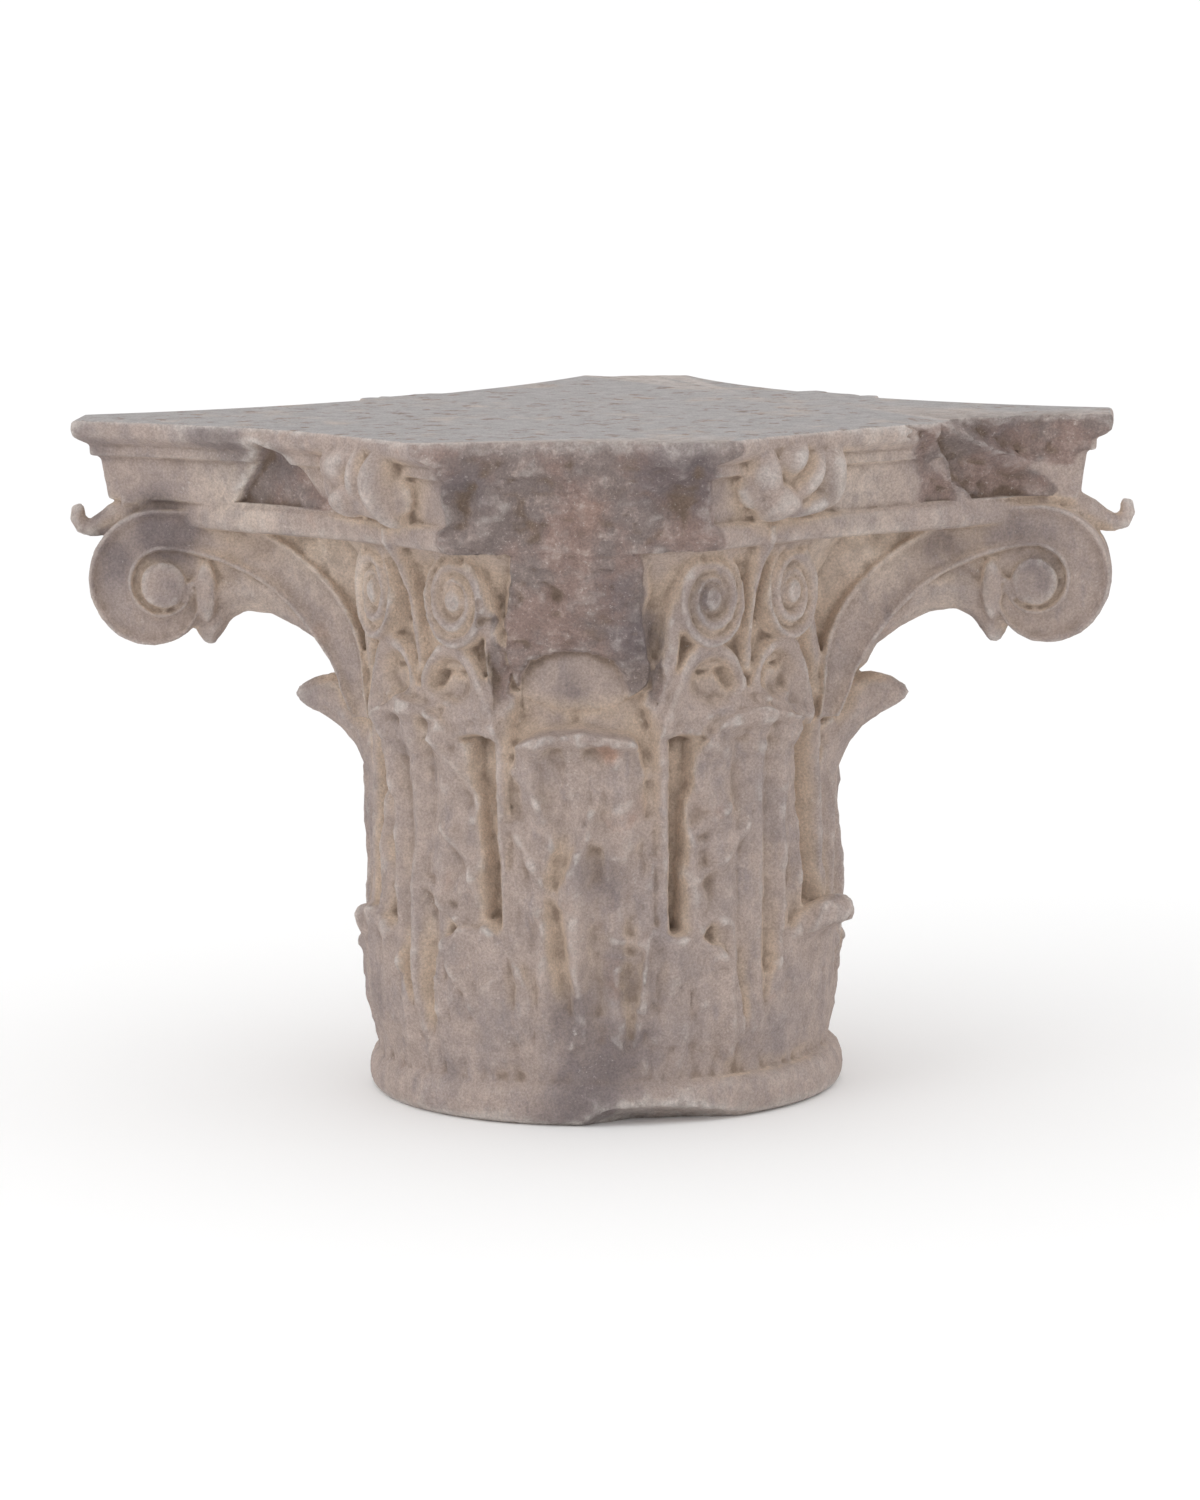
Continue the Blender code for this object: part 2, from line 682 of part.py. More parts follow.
combine(slab(), "UNION")
combine(foot_ring(), "UNION")
combine(break_block("front corner break", front_corner, 13, 15), "DIFFERENCE")
combine(break_block("right scar", right_scar, 5, 10), "DIFFERENCE")
combine(break_block("left scar", left_scar, 4, 7), "DIFFERENCE")
combine(break_block("back horn break", back_horn, 5, 8), "DIFFERENCE")
combine(break_block("ring chip", ring_chip, 4, 9), "DIFFERENCE")
combine(leaf_break("front leaf break", -45.0, 0.585 * HEIGHT, 0.05), "DIFFERENCE")
combine(leaf_break("right leaf break", 0.0, 0.590 * HEIGHT, -0.08), "DIFFERENCE")
combine(leaf_break("left leaf break", -90.0, 0.592 * HEIGHT, 0.0), "DIFFERENCE")

stone = bpy.data.materials.new("worn stone")
stone.use_nodes = True
shader = stone.node_tree.nodes["Principled BSDF"]
shader.inputs["Base Color"].default_value = (0.40, 0.32, 0.27, 1.0)
shader.inputs["Roughness"].default_value = 0.85
capital.data.materials.append(stone)
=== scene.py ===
import math

import bmesh
import bpy
import numpy as np
from mathutils import Matrix, Vector
from mathutils.bvhtree import BVHTree


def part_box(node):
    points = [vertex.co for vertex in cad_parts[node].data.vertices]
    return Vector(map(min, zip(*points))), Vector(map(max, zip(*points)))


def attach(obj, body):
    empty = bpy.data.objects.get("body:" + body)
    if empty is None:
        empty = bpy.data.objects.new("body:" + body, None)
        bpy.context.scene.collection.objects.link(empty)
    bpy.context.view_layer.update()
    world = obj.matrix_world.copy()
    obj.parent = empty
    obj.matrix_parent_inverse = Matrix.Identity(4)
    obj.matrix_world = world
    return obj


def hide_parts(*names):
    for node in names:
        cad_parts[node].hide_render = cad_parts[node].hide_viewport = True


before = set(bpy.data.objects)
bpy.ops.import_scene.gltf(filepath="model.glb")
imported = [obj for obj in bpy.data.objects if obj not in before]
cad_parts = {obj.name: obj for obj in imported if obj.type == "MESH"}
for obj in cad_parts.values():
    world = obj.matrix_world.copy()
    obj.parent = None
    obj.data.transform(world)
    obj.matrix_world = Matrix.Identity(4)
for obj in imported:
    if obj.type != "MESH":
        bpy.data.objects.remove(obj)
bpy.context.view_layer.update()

# The bell and its carving: one round drum of marble, cut with a chisel. Leaves, stalks and
# small scrolls stand out from it by about two fingers. Angles are in degrees about the axis:
# the faces of the block look along 0, 90, 180 and -90, and its corners lie between them.
block = []
HEIGHT = float(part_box("capital")[1][2])
SLAB_THICK = 0.077
LIP_THICK = 0.025
SLAB_FOOT = HEIGHT - SLAB_THICK
LIP_FOOT = SLAB_FOOT - LIP_THICK
DRUM_RADIUS = 0.22
STREAK = 0.22


def solid(name, loops):
    """A closed solid through a stack of closed loops that have equal numbers of points."""
    loops = np.asarray(loops, dtype=float)
    rows, cols = loops.shape[:2]
    index = np.arange(rows * cols).reshape(rows, cols)
    ahead = np.roll(index, -1, axis=1)
    walls = np.stack([index[:-1], ahead[:-1], ahead[1:], index[1:]], axis=-1).reshape(-1, 4)
    half = np.arange(cols // 2 - 1)
    rungs = np.stack([half, half + 1, cols - 2 - half, cols - 1 - half], axis=-1)
    quads = np.concatenate([walls, rungs[:, ::-1], rungs + (rows - 1) * cols])
    mesh = bpy.data.meshes.new(name)
    mesh.from_pydata(loops.reshape(-1, 3).tolist(), [], quads.tolist())
    bm = bmesh.new()
    bm.from_mesh(mesh)
    bmesh.ops.recalc_face_normals(bm, faces=bm.faces)
    bm.to_mesh(mesh)
    bm.free()
    ob = bpy.data.objects.new(name, mesh)
    bpy.context.scene.collection.objects.link(ob)
    return ob


def grain(points, size, seed):
    """Smooth noise from -1 to 1 at each point, in lumps about one size across."""
    place = np.asarray(points, dtype=float) / size + 17.3 * seed
    cell = np.floor(place)
    share = place - cell
    share = share * share * (3 - 2 * share)
    cell = cell.astype(np.int64)
    total = np.zeros(place.shape[:-1])
    for corner in range(8):
        step = np.array([corner & 1, corner >> 1 & 1, corner >> 2 & 1])
        mixed = (cell + step) @ np.array([73856093, 19349663, 83492791])
        mixed = (mixed ^ (mixed >> 13)) * 1274126177
        value = ((mixed ^ (mixed >> 15)) & 0xFFFF) / 32767.5 - 1
        total += np.prod(np.where(step == 1, share, 1 - share), axis=-1) * value
    return total


def lumps(points, size, seed, octaves=3):
    """Noise with finer and finer detail, from about -1 to 1."""
    total = 0
    for k in range(octaves):
        total = total + grain(points, size / 2.1 ** k, seed + 7 * k) * 0.55 ** k
    return total / 1.5


def smooth(x):
    """Soft step: 0 below 0, 1 above 1."""
    x = np.clip(x, 0, 1)
    return x * x * (3 - 2 * x)


def hump(x, width):
    """Soft hump: 1 at 0 and almost nothing two widths away."""
    return np.exp(-(x / width) ** 2)


def half_round(x, half):
    """Round hump: 1 at 0 and down to 0 at half its width."""
    return np.sqrt(np.clip(1 - (x / half) ** 2, 0, 1))


def xyz(x, y, z):
    """Points from their three coordinates."""
    return np.stack(np.broadcast_arrays(x, y, z), axis=-1)


def polar(reach, turn, level):
    """Points at a reach from the axis, a turn in radians and a level."""
    return xyz(reach * np.cos(turn), reach * np.sin(turn), level)


def wrapped(degrees):
    """The same angle between -180 and 180 degrees."""
    return (degrees + 180) % 360 - 180


turns = np.arange(0, 360, 0.5)
levels = np.arange(0.02, LIP_FOOT + 0.018, 0.002)
TURN, LEVEL = np.meshgrid(turns, levels)
on_drum = polar(DRUM_RADIUS, np.radians(TURN), LEVEL)
streaked = on_drum * np.array([1.0, 1.0, STREAK])
BELL_LEVELS = (0.0, 0.32, 0.38, 0.447, 0.49, 0.517, 0.54, 0.56)
BELL_RADII = (0.197, 0.197, 0.203, 0.21, 0.219, 0.232, 0.25, 0.25)
bell = np.interp(LEVEL, BELL_LEVELS, BELL_RADII)
relief = bell.copy()


def off(centre):
    """Angle of every place on the drum from a centre line, in degrees."""
    return wrapped(TURN - centre)


def raised(face, inside):
    """The carving so far, with a new face that stands out from the bell where inside is 1."""
    return np.maximum(relief, bell + (face - bell) * inside)


# Upper leaves: eight broad worn leaves, carved from the same marble, with their feet behind
# the lower row. Three have lost their curled tips, at the broken corner and beside it.
EDGE_LEVELS = (0.03, 0.19, 0.25, 0.3, 0.33, 0.355, 0.372, 0.39)
EDGE_TURNS = (21.0, 21.4, 21.0, 19.8, 18.2, 16.4, 13.5, 8.0)
LOST_TIPS = {-45: (0.375, 0.93, -1.0), 0: (0.388, 0.97, -0.5), -90: (0.396, 1.0, -0.5)}
WHOLE_LEAF = (0.372, 1.0, 0.0)
LEAVES = 8
LEAF_STEP = 45
LEAF_FACE = 0.219
LEAF_HALF = 21.5
LOBE_TALL = 0.052
for k in range(LEAVES):
    centre = wrapped(LEAF_STEP * k)
    top, broad, shift = LOST_TIPS.get(centre, WHOLE_LEAF)
    across = off(centre + shift)
    ragged = grain(xyz(np.sign(across) * 5 + k, 0, LEVEL), 0.021, 3)
    lobe = LEVEL / LOBE_TALL + 0.12 * k
    edge = np.interp(LEVEL, EDGE_LEVELS, EDGE_TURNS) * broad + 0.8 * ragged
    edge = edge + 0.8 * abs(np.sin(np.pi * lobe)) - 0.5
    inside = smooth((edge - abs(across)) / 1.5)
    rim = top - 0.016 * (abs(across) / 14) ** 2 + 0.006 * grain(on_drum, 0.022, 5)
    inside = inside * smooth((rim - LEVEL) / 0.007)
    place = abs(across) / LEAF_HALF
    fan = 1.0 - 0.5 * smooth((LEVEL - 0.2) / 0.17) * place
    ribs = 0.0056 * np.cos(2 * np.pi * place * 2.55 * fan) + 0.0025 * hump(place, 0.13)
    ribs = ribs * (0.75 + 0.6 * grain(streaked, 0.03, 8 + k))
    folds = np.cos(2 * np.pi * (lobe - 1.5 * place) + 0.8 * grain(on_drum, 0.05, 12 + k))
    ribs = ribs + 0.003 * folds * smooth((place - 0.22) / 0.3)
    face = LEAF_FACE + ribs - 0.006 * place ** 3
    if centre in LOST_TIPS:
        face = face + 0.013 * smooth((LEVEL - 0.315) / 0.06)
        face = face + 0.009 * smooth((LEVEL - top + 0.026) / 0.01)
    relief = raised(face, inside)

# Lower leaves: eight shorter leaves, each in front of the gap between two upper ones.
# At the front they are rubbed down to low shapes with uneven upper edges.
EDGE_OVER = (-22, -20, -17.5, -13, -7, 0, 7, 13, 17.5, 20, 22)
EDGE_TOP = (0.03, 0.095, 0.145, 0.173, 0.186, 0.19, 0.186, 0.173, 0.145, 0.095, 0.03)
LEFT_OVER = (-20, -15, -13, -10, -2.7, 0.5, 3.9, 7.6, 10, 10.7, 13.5)
LEFT_TOP = (0.06, 0.16, 0.177, 0.185, 0.19, 0.189, 0.178, 0.156, 0.133, 0.112, 0.045)
RIGHT_OVER = (-12, -9, -7.6, -6.1, -1.8, 5.6, 10.8, 14.9, 17.6, 20)
RIGHT_TOP = (0.05, 0.15, 0.18, 0.189, 0.185, 0.177, 0.17, 0.15, 0.111, 0.03)
RUBBED_LEAVES = {-67.5: (LEFT_OVER, LEFT_TOP), -22.5: (RIGHT_OVER, RIGHT_TOP)}
LOWER_FACE = 0.226
LOWER_HALF = 21
for k in range(LEAVES):
    centre = wrapped(LEAF_STEP * k + LEAF_STEP / 2)
    over, tops = RUBBED_LEAVES.get(centre, (EDGE_OVER, EDGE_TOP))
    across = off(centre)
    rim = np.interp(across, over, tops, left=0.0, right=0.0) + 0.004 * grain(on_drum, 0.012, 21)
    inside = smooth((rim - LEVEL) / 0.006)
    place = abs(across) / LOWER_HALF
    ribs = 0.0042 * np.cos(2 * np.pi * place * 2.3) * (0.7 + 0.6 * grain(streaked, 0.03, 30 + k))
    folds = np.cos(2 * np.pi * (LEVEL / 0.046 - 1.3 * place + 0.2 * k))
    ribs = ribs + 0.0026 * folds * smooth((place - 0.25) / 0.3)
    face = LOWER_FACE + ribs - 0.004 * place ** 3 + 0.004 * hump(rim - LEVEL - 0.012, 0.01)
    relief = raised(face, inside)
DRAWN_IN_LEVELS = (0.02, 0.048, 0.085, 0.13, 0.16)
DRAWN_IN_RADII = (0.211, 0.213, 0.2215, 0.2275, 0.26)
relief = np.minimum(relief, np.interp(LEVEL, DRAWN_IN_LEVELS, DRAWN_IN_RADII))
relief = relief - 0.0035 * np.cos(np.radians(TURN - 50)) * smooth((0.22 - LEVEL) / 0.08)

# Stalks between the upper leaves: narrow uprights with a rolled collar at the top,
# with a dark slot beside each on its face side, where the drill was left to show.
FACES = (0, 90, 180, -90)
STALK_TURN = 25.6
STALK_TOP = 0.392
STALK_FACE = 0.2235
STALK_LEVELS = (0.15, 0.3, 0.375, 0.388, 0.398, 0.404)
STALK_HALF_TURNS = (1.9, 2.2, 2.7, 4.2, 3.6, 2.4)
for face_turn in FACES:
    for side in (1, -1):
        across = off(face_turn + side * STALK_TURN)
        swell = np.interp(LEVEL, STALK_LEVELS, STALK_HALF_TURNS)
        swell = swell + 0.25 * np.sin(LEVEL / 0.0022) * smooth((LEVEL - 0.2) / 0.05)
        inside = smooth((LEVEL - 0.14) / 0.02) * smooth((STALK_TOP + 0.014 - LEVEL) / 0.01)
        lift = (STALK_FACE - bell) * half_round(across, swell) * inside
        relief = np.maximum(relief, bell + lift)

# Small scrolls and the sheaths they grow from, in the middle of each face: two oval
# scrolls on stems, a thin stem between them, and two arched leaf sheaths under them.
# The carver set them by eye, so each face has its own middle line and its own spread.
SMALL_SCROLLS = {0: (-0.013, 0.045), -90: (0.01, 0.055), 90: (0.0, 0.045), 180: (0.004, 0.047)}
HELIX_LEVEL = 0.487
HELIX_WIDE = 0.034
HELIX_TALL = 0.047
HELIX_SIZE = 0.038
HELIX_FACE = 0.2425
SHEATH_FACE = 0.227
SPREAD = 0.23


def to_path(y, z, path):
    """Distance of every place to a path, and how far along it the nearest point lies (0 to 1)."""
    best = np.full(y.shape, 1e9)
    along = np.zeros(y.shape)
    path = np.asarray(path, dtype=float)
    for k in range(len(path) - 1):
        run = path[k + 1] - path[k]
        share = ((y - path[k, 0]) * run[0] + (z - path[k, 1]) * run[1]) / (run @ run)
        share = np.clip(share, 0, 1)
        apart = np.hypot(y - path[k, 0] - share * run[0], z - path[k, 1] - share * run[1])
        nearer = apart < best
        best = np.where(nearer, apart, best)
        along = np.where(nearer, (k + share) / (len(path) - 1), along)
    return best, along


SHEATH_RIM = ((0.09, 0.368), (0.081, 0.392), (0.072, 0.413), (0.062, 0.431), (0.052, 0.4425),
              (0.04, 0.443), (0.029, 0.438), (0.02, 0.428), (0.0125, 0.416), (0.0125, 0.404),
              (0.02, 0.398))
SHEATH_OVER = (0.0, 0.008, 0.016, 0.028, 0.04, 0.053, 0.063, 0.073, 0.082, 0.09, 0.098)
SHEATH_TOP = (0.404, 0.422, 0.437, 0.448, 0.453, 0.4525, 0.443, 0.426, 0.405, 0.384, 0.35)
SHEATH_LOW = (0.35, 0.35, 0.35, 0.35, 0.352, 0.354, 0.356, 0.356, 0.354, 0.35, 0.345)
SHEATH_HOLLOW = ((0.018, 0.405), (0.023, 0.416), (0.033, 0.4225), (0.047, 0.4205))
carved = LEVEL > 0.355
for face_turn, (middle, apart) in SMALL_SCROLLS.items():
    y_all = np.radians(off(face_turn)) * SPREAD - middle
    for side in (1, -1):
        y = y_all * side
        near = carved & (y > -0.004) & (y < 0.13)
        worn = 1 + 0.25 * grain(on_drum, 0.025, 41)
        rim_gap = to_path(y, LEVEL, SHEATH_RIM)[0]
        hollow_gap = to_path(y, LEVEL, SHEATH_HOLLOW)[0]
        inside = smooth((np.interp(y, SHEATH_OVER, SHEATH_TOP, right=0.3) - LEVEL) / 0.005)
        inside = inside * smooth((LEVEL - np.interp(y, SHEATH_OVER, SHEATH_LOW)) / 0.008)
        hollow = np.exp(-np.hypot((y - 0.037) / 0.023, (LEVEL - 0.41) / 0.021) ** 6)
        face = SHEATH_FACE - 0.0105 * hollow + 0.0055 * hump(rim_gap, 0.0075) * worn
        face = face - 0.01 * hump(hollow_gap, 0.005)
        face = face - 0.004 * np.exp(-((y - 0.058) / 0.01) ** 2 - ((LEVEL - 0.395) / 0.022) ** 2)
        relief = np.where(near, raised(face, inside), relief)
        foot = math.radians(STALK_TURN) * SPREAD - side * middle
        bend = foot * 0.55 + apart * 0.45 + 0.01
        stem_path = ((foot - 0.004, 0.385), (foot - 0.005, 0.412), (bend, 0.44),
                     (apart + 0.033, 0.468), (apart + 0.027, 0.492), (apart + 0.02, 0.515))
        stem, along = to_path(y, LEVEL, stem_path)
        lift = half_round(stem, 0.0105 - 0.002 * along)
        face = np.interp(LEVEL, (0.4, 0.47), (0.226, 0.2375))
        form = bell + (face - bell) * lift - 0.0035 * hump(stem, 0.0022)
        relief = np.maximum(relief, np.where(near & (lift > 0), form, 0))
        dy, dz = (y - apart) / HELIX_WIDE, (LEVEL - HELIX_LEVEL) / HELIX_TALL
        oval = np.hypot(dy, dz)
        swing = (np.degrees(np.arctan2(dz, dy)) % 360) / 360
        disc = smooth((1.02 - oval) / 0.11)
        cut = 0
        for lap in (0, 1, 2):
            line = 0.84 - 0.36 * (swing + lap - 0.35)
            lap_cut = hump((oval - line) * HELIX_SIZE, 0.0031)
            cut = np.maximum(cut, lap_cut * (line > 0.3) * (line < 0.9))
        eye = hump((oval - 0.31) * HELIX_SIZE, 0.0026)
        face = HELIX_FACE + 0.002 * oval - 0.0085 * np.maximum(cut, eye)
        relief = np.where(near, raised(face, disc), relief)
    packed = np.interp(LEVEL, (0.405, 0.422, 0.46, 0.475), (0.19, 0.216, 0.2185, 0.19))
    relief = np.where(abs(y_all) < 0.085, np.maximum(relief, packed), relief)
    thin = np.interp(LEVEL, (0.395, 0.42, 0.47, 0.535), (0.013, 0.009, 0.0055, 0.006))
    lift = half_round(y_all, thin) * smooth((LEVEL - 0.4) / 0.02)
    relief = np.maximum(relief, bell + 0.019 * lift)
    roll = hump(LEVEL - 0.389 - 0.005 * grain(on_drum, 0.03, 52), 0.009)
    roll = roll * smooth((0.068 - abs(y_all)) / 0.015) * (0.8 + 0.6 * grain(on_drum, 0.014, 50))
    relief = np.maximum(relief, bell + 0.028 * roll)

beside_front = (abs(off(-45.5)) < 21) & (LEVEL < 0.38)
packed = np.interp(LEVEL, (0.335, 0.38), (0.2135, 0.203))
relief = np.where(beside_front, np.maximum(relief, packed), relief)

# Wear of the drum: centuries of weather rounded every edge, left upright streaks, and
# broke a ragged ridge out of the leaf under the broken corner.
below = smooth((0.4 - LEVEL) / 0.03)
standing = smooth((relief - bell) / 0.01)
in_front = hump(off(-45), 34)
wear = 0.0034 * lumps(on_drum, 0.045, 60, 4) + 0.0026 * lumps(streaked, 0.01, 64, 3)
chipped = np.minimum(abs(lumps(on_drum, 0.03, 67, 4)) - 0.12, 0.25)
wear = wear + (0.004 + 0.01 * in_front) * smooth((chipped + 0.12) / 0.37) * 0.37
wear = wear + 0.003 * in_front * lumps(on_drum, 0.035, 69, 3)
relief = relief + wear * standing * (0.3 + 0.7 * below) + 0.0006 * lumps(on_drum, 0.03, 66)


def at(turn, level, wide, tall):
    """Soft round patch on the drum, 1 at its middle; wide in degrees, tall in metres."""
    return np.exp(-(off(turn) / wide) ** 2 - ((LEVEL - level) / tall) ** 2)


def crest(path, wide):
    """Soft line through (turn, level) points, 1 on the line; wide in metres."""
    path = [(math.radians(wrapped(turn)) * DRUM_RADIUS, level) for turn, level in path]
    return hump(to_path(np.radians(off(0)) * DRUM_RADIUS, LEVEL, path)[0], wide)


FRONT_RIDGE = ((-42.5, 0.292), (-43.5, 0.272), (-47.5, 0.243), (-49.5, 0.222), (-48.5, 0.19),
               (-46.5, 0.125))
FRONT_GROOVE = ((-45.8, 0.338), (-46.4, 0.315), (-45.8, 0.3))
SIDE_CRACK = ((-72, 0.162), (-66, 0.176), (-62.5, 0.165), (-58.5, 0.138), (-57, 0.115), (-57.5, 0.06))
BESIDE_RIDGE = [(turn - 3.0, level) for turn, level in FRONT_RIDGE]
relief += 0.0105 * crest(FRONT_RIDGE, 0.007) - 0.006 * crest(BESIDE_RIDGE, 0.008)
relief -= 0.005 * crest(FRONT_GROOVE, 0.0035) + 0.003 * crest(SIDE_CRACK, 0.0022)
relief += 0.01 * at(-56, 0.352, 4.5, 0.014) + 0.008 * at(-52, 0.366, 4.0, 0.008)
relief += 0.009 * at(-38, 0.362, 5.5, 0.012) - 0.006 * at(-43, 0.345, 3.0, 0.012)
relief -= 0.008 * at(-46.5, 0.366, 1.6, 0.012) + 0.005 * at(-61, 0.335, 2.5, 0.015)
relief += 0.006 * crest(((-62, 0.33), (-57, 0.318), (-53, 0.29), (-52, 0.262)), 0.006)
relief += 0.004 * crest(((-36, 0.335), (-33, 0.3), (-35, 0.255)), 0.012)
relief -= 0.003 * at(-40.5, 0.176, 2.5, 0.01)
relief -= 0.005 * crest(((-19, 0.12), (-17.5, 0.085), (-18, 0.045)), 0.006)

# Weather leaves no pock marks on the marble, only upright grooves, so any pit shorter than a
# finger is filled. The ridges and grooves that still show are then cut one by one.
filled = relief.copy()
for pick in (np.maximum, np.minimum):
    for _ in range(6):
        filled[1:-1] = pick(filled[1:-1], pick(filled[:-2], filled[2:]))
relief = relief + 0.85 * (filled - relief) * (LEVEL < 0.355)
RIDGES = (((-80.7, 0.166), (-78.9, 0.144), (-73.7, 0.123), (-72.9, 0.107)),
          ((-16.3, 0.18), (-13.3, 0.192), (-8.5, 0.18), (-7.4, 0.152), (-9.0, 0.124), (-8.2, 0.057)),
          ((-37.8, 0.174), (-30.8, 0.169)), ((-60.4, 0.279), (-57.5, 0.245), (-50.4, 0.207)),
          ((-87.5, 0.219), (-78.0, 0.189)),
          ((-14.0, 0.378), (-6.9, 0.387), (3.8, 0.386), (16.8, 0.366)), ((-16.3, 0.272), (-8.5, 0.293)),
          ((-81.6, 0.356), (-76.3, 0.33), (-69.7, 0.293), (-67.3, 0.249)),
          ((-16.3, 0.227), (-8.5, 0.248), (-3.5, 0.274)),
          ((-81.6, 0.272), (-74.6, 0.247), (-71.3, 0.203)))
GROOVES = (((-94.1, 0.166), (-91.8, 0.105), (-89.6, 0.033)),
           ((-87.1, 0.163), (-85.5, 0.097), (-84.1, 0.035)), ((-0.9, 0.29), (-1.2, 0.2), (-0.9, 0.088)),
           ((6.7, 0.27), (6.1, 0.186), (3.8, 0.086)), ((-13.3, 0.355), (0.0, 0.356), (12.0, 0.341)))
for path in RIDGES:
    relief += 0.006 * crest(path, 0.005)
for path in GROOVES:
    relief -= 0.003 * crest(path, 0.0042)
relief += 0.0055 * crest(((-31.8, 0.188), (-31.2, 0.095)), 0.006)
relief += 0.006 * at(-12.5, 0.186, 2.5, 0.01) + 0.006 * at(-78, 0.187, 2.5, 0.01)
block.append(solid("carved_drum", polar(relief, np.radians(TURN), LEVEL)))

# The foot ring: a plain half-round moulding of the same marble, cut round the foot. The
# capital stands on the flat lower bed inside it, by its own weight.
RING_RADIUS = 0.226
RING_PROFILE = ((-0.008, 0.0), (-0.001, 0.005), (0.001, 0.014), (0.0, 0.025), (-0.003, 0.033),
                (-0.009, 0.0385), (-0.022, 0.04))
ring_turns = np.radians(np.arange(0, 360, 1.0))
ring = []
for inset, level in RING_PROFILE:
    sway = 1 + 0.007 * np.cos(2 * ring_turns + 0.7) + 0.004 * np.cos(5 * ring_turns)
    reach = RING_RADIUS * (sway if level > 0.001 else 1) + inset
    ring.append(polar(reach, ring_turns, level))
block.append(solid("foot_ring", ring))

# Curled leaf tips, cut free of the bell: the upper ones reach out like a beak, the lower
# ones are short. Those at the front were lost, so only the others are made.
UPPER_UNDER = ((0.198, 0.262), (0.211, 0.262), (0.219, 0.287), (0.227, 0.308), (0.2362, 0.328),
               (0.25, 0.344), (0.267, 0.356), (0.283, 0.3635), (0.2925, 0.371))
UPPER_OVER = ((0.288, 0.3785), (0.275, 0.387), (0.256, 0.392), (0.239, 0.391), (0.226, 0.384),
              (0.213, 0.369), (0.204, 0.352), (0.199, 0.33), (0.198, 0.3))
LOWER_UNDER = ((0.202, 0.112), (0.217, 0.112), (0.224, 0.135), (0.2288, 0.153), (0.235, 0.165),
               (0.244, 0.173), (0.253, 0.181), (0.2555, 0.188))
TONGUE_UNDER = ((0.206, 0.122), (0.224, 0.122), (0.225, 0.142), (0.23, 0.158), (0.24, 0.166),
                (0.25, 0.17), (0.2585, 0.174), (0.2615, 0.181))
TONGUE_OVER = ((0.258, 0.19), (0.247, 0.1955), (0.234, 0.194), (0.22, 0.187), (0.21, 0.172),
               (0.206, 0.15))
LOWER_OVER = ((0.25, 0.1945), (0.239, 0.1945), (0.225, 0.188), (0.215, 0.179), (0.208, 0.164),
              (0.206, 0.14))


def curled_tip(name, under, over, half_width, tip_width, droop):
    """A leaf tip facing along X, lofted from its middle profile out to both edges."""
    under, over = np.array(under), np.array(over)
    root, reach = under[1, 0], under[-1, 0]
    loops = []
    for a in np.linspace(-1, 1, 37):
        thin = (1 - abs(a) ** 3) * 0.9 + 0.1
        fold = 0.0022 * math.cos(3.2 * math.pi * a)
        loop = []
        for r, z in list(under) + list(over):
            out = np.clip((r - root) / (reach - root), 0, 1)
            wide = half_width + (tip_width - half_width) * out ** 0.8
            wide *= 1 + 0.07 * math.cos(9 * out + 0.6)
            loop.append((r, z, out, wide))
        loop = np.array(loop)
        back = loop[len(under):]
        mirror = loop[:len(under)][::-1]
        pick = np.linspace(0, len(under) - 1, len(over)).round().astype(int)
        back[:, :2] = mirror[pick, :2] + (back[:, :2] - mirror[pick, :2]) * thin
        r = root + (loop[:, 0] - root) * (1 - 0.38 * a * a * (loop[:, 0] > root))
        z = loop[:, 1] - droop * a * a * loop[:, 2] + fold * loop[:, 2]
        turn = a * loop[:, 3] / np.maximum(r, 0.2)
        loops.append(polar(r, turn, z))
    return solid(name, loops)


stone = bpy.data.materials.new("worn_marble")


def new_tree(name, numbers):
    """Empty node tree that takes a mesh and some named numbers, and gives a mesh."""
    tree = bpy.data.node_groups.new(name, "GeometryNodeTree")
    taken = [("Geometry", "Geometry", "INPUT")] + [(label, kind, "INPUT") for label, kind in numbers]
    for label, kind, way in taken + [("Geometry", "Geometry", "OUTPUT")]:
        tree.interface.new_socket(name=label, in_out=way, socket_type="NodeSocket" + kind)
    return tree


def copies_tree():
    """Node tree that sets copies of a piece round the upright axis."""
    numbers = (("Count", "Int"), ("First turn", "Float"), ("Step turn", "Float"))
    tree = new_tree("copies_round_axis", numbers)
    add, link = tree.nodes.new, tree.links.new
    given, result = add("NodeGroupInput"), add("NodeGroupOutput")
    points, index = add("GeometryNodePoints"), add("GeometryNodeInputIndex")
    turn, euler = add("ShaderNodeMath"), add("ShaderNodeCombineXYZ")
    turn.operation = "MULTIPLY_ADD"
    rotate, place = add("FunctionNodeEulerToRotation"), add("GeometryNodeInstanceOnPoints")
    real, dress = add("GeometryNodeRealizeInstances"), add("GeometryNodeSetMaterial")
    dress.inputs["Material"].default_value = stone
    link(given.outputs["Count"], points.inputs["Count"])
    link(index.outputs[0], turn.inputs[0])
    link(given.outputs["Step turn"], turn.inputs[1])
    link(given.outputs["First turn"], turn.inputs[2])
    link(turn.outputs[0], euler.inputs["Z"])
    link(euler.outputs[0], rotate.inputs[0])
    link(points.outputs[0], place.inputs["Points"])
    link(given.outputs["Geometry"], place.inputs["Instance"])
    link(rotate.outputs[0], place.inputs["Rotation"])
    link(place.outputs[0], real.inputs[0])
    link(real.outputs[0], dress.inputs["Geometry"])
    link(dress.outputs[0], result.inputs[0])
    return tree


def run_tree(ob, tree, values):
    """Run a node tree on a piece and keep the result as its plain mesh."""
    step = ob.modifiers.new(tree.name, "NODES")
    step.node_group = tree
    for socket in tree.interface.items_tree:
        if socket.in_out == "INPUT" and socket.name in values:
            step[socket.identifier] = values[socket.name]
    settle(ob)


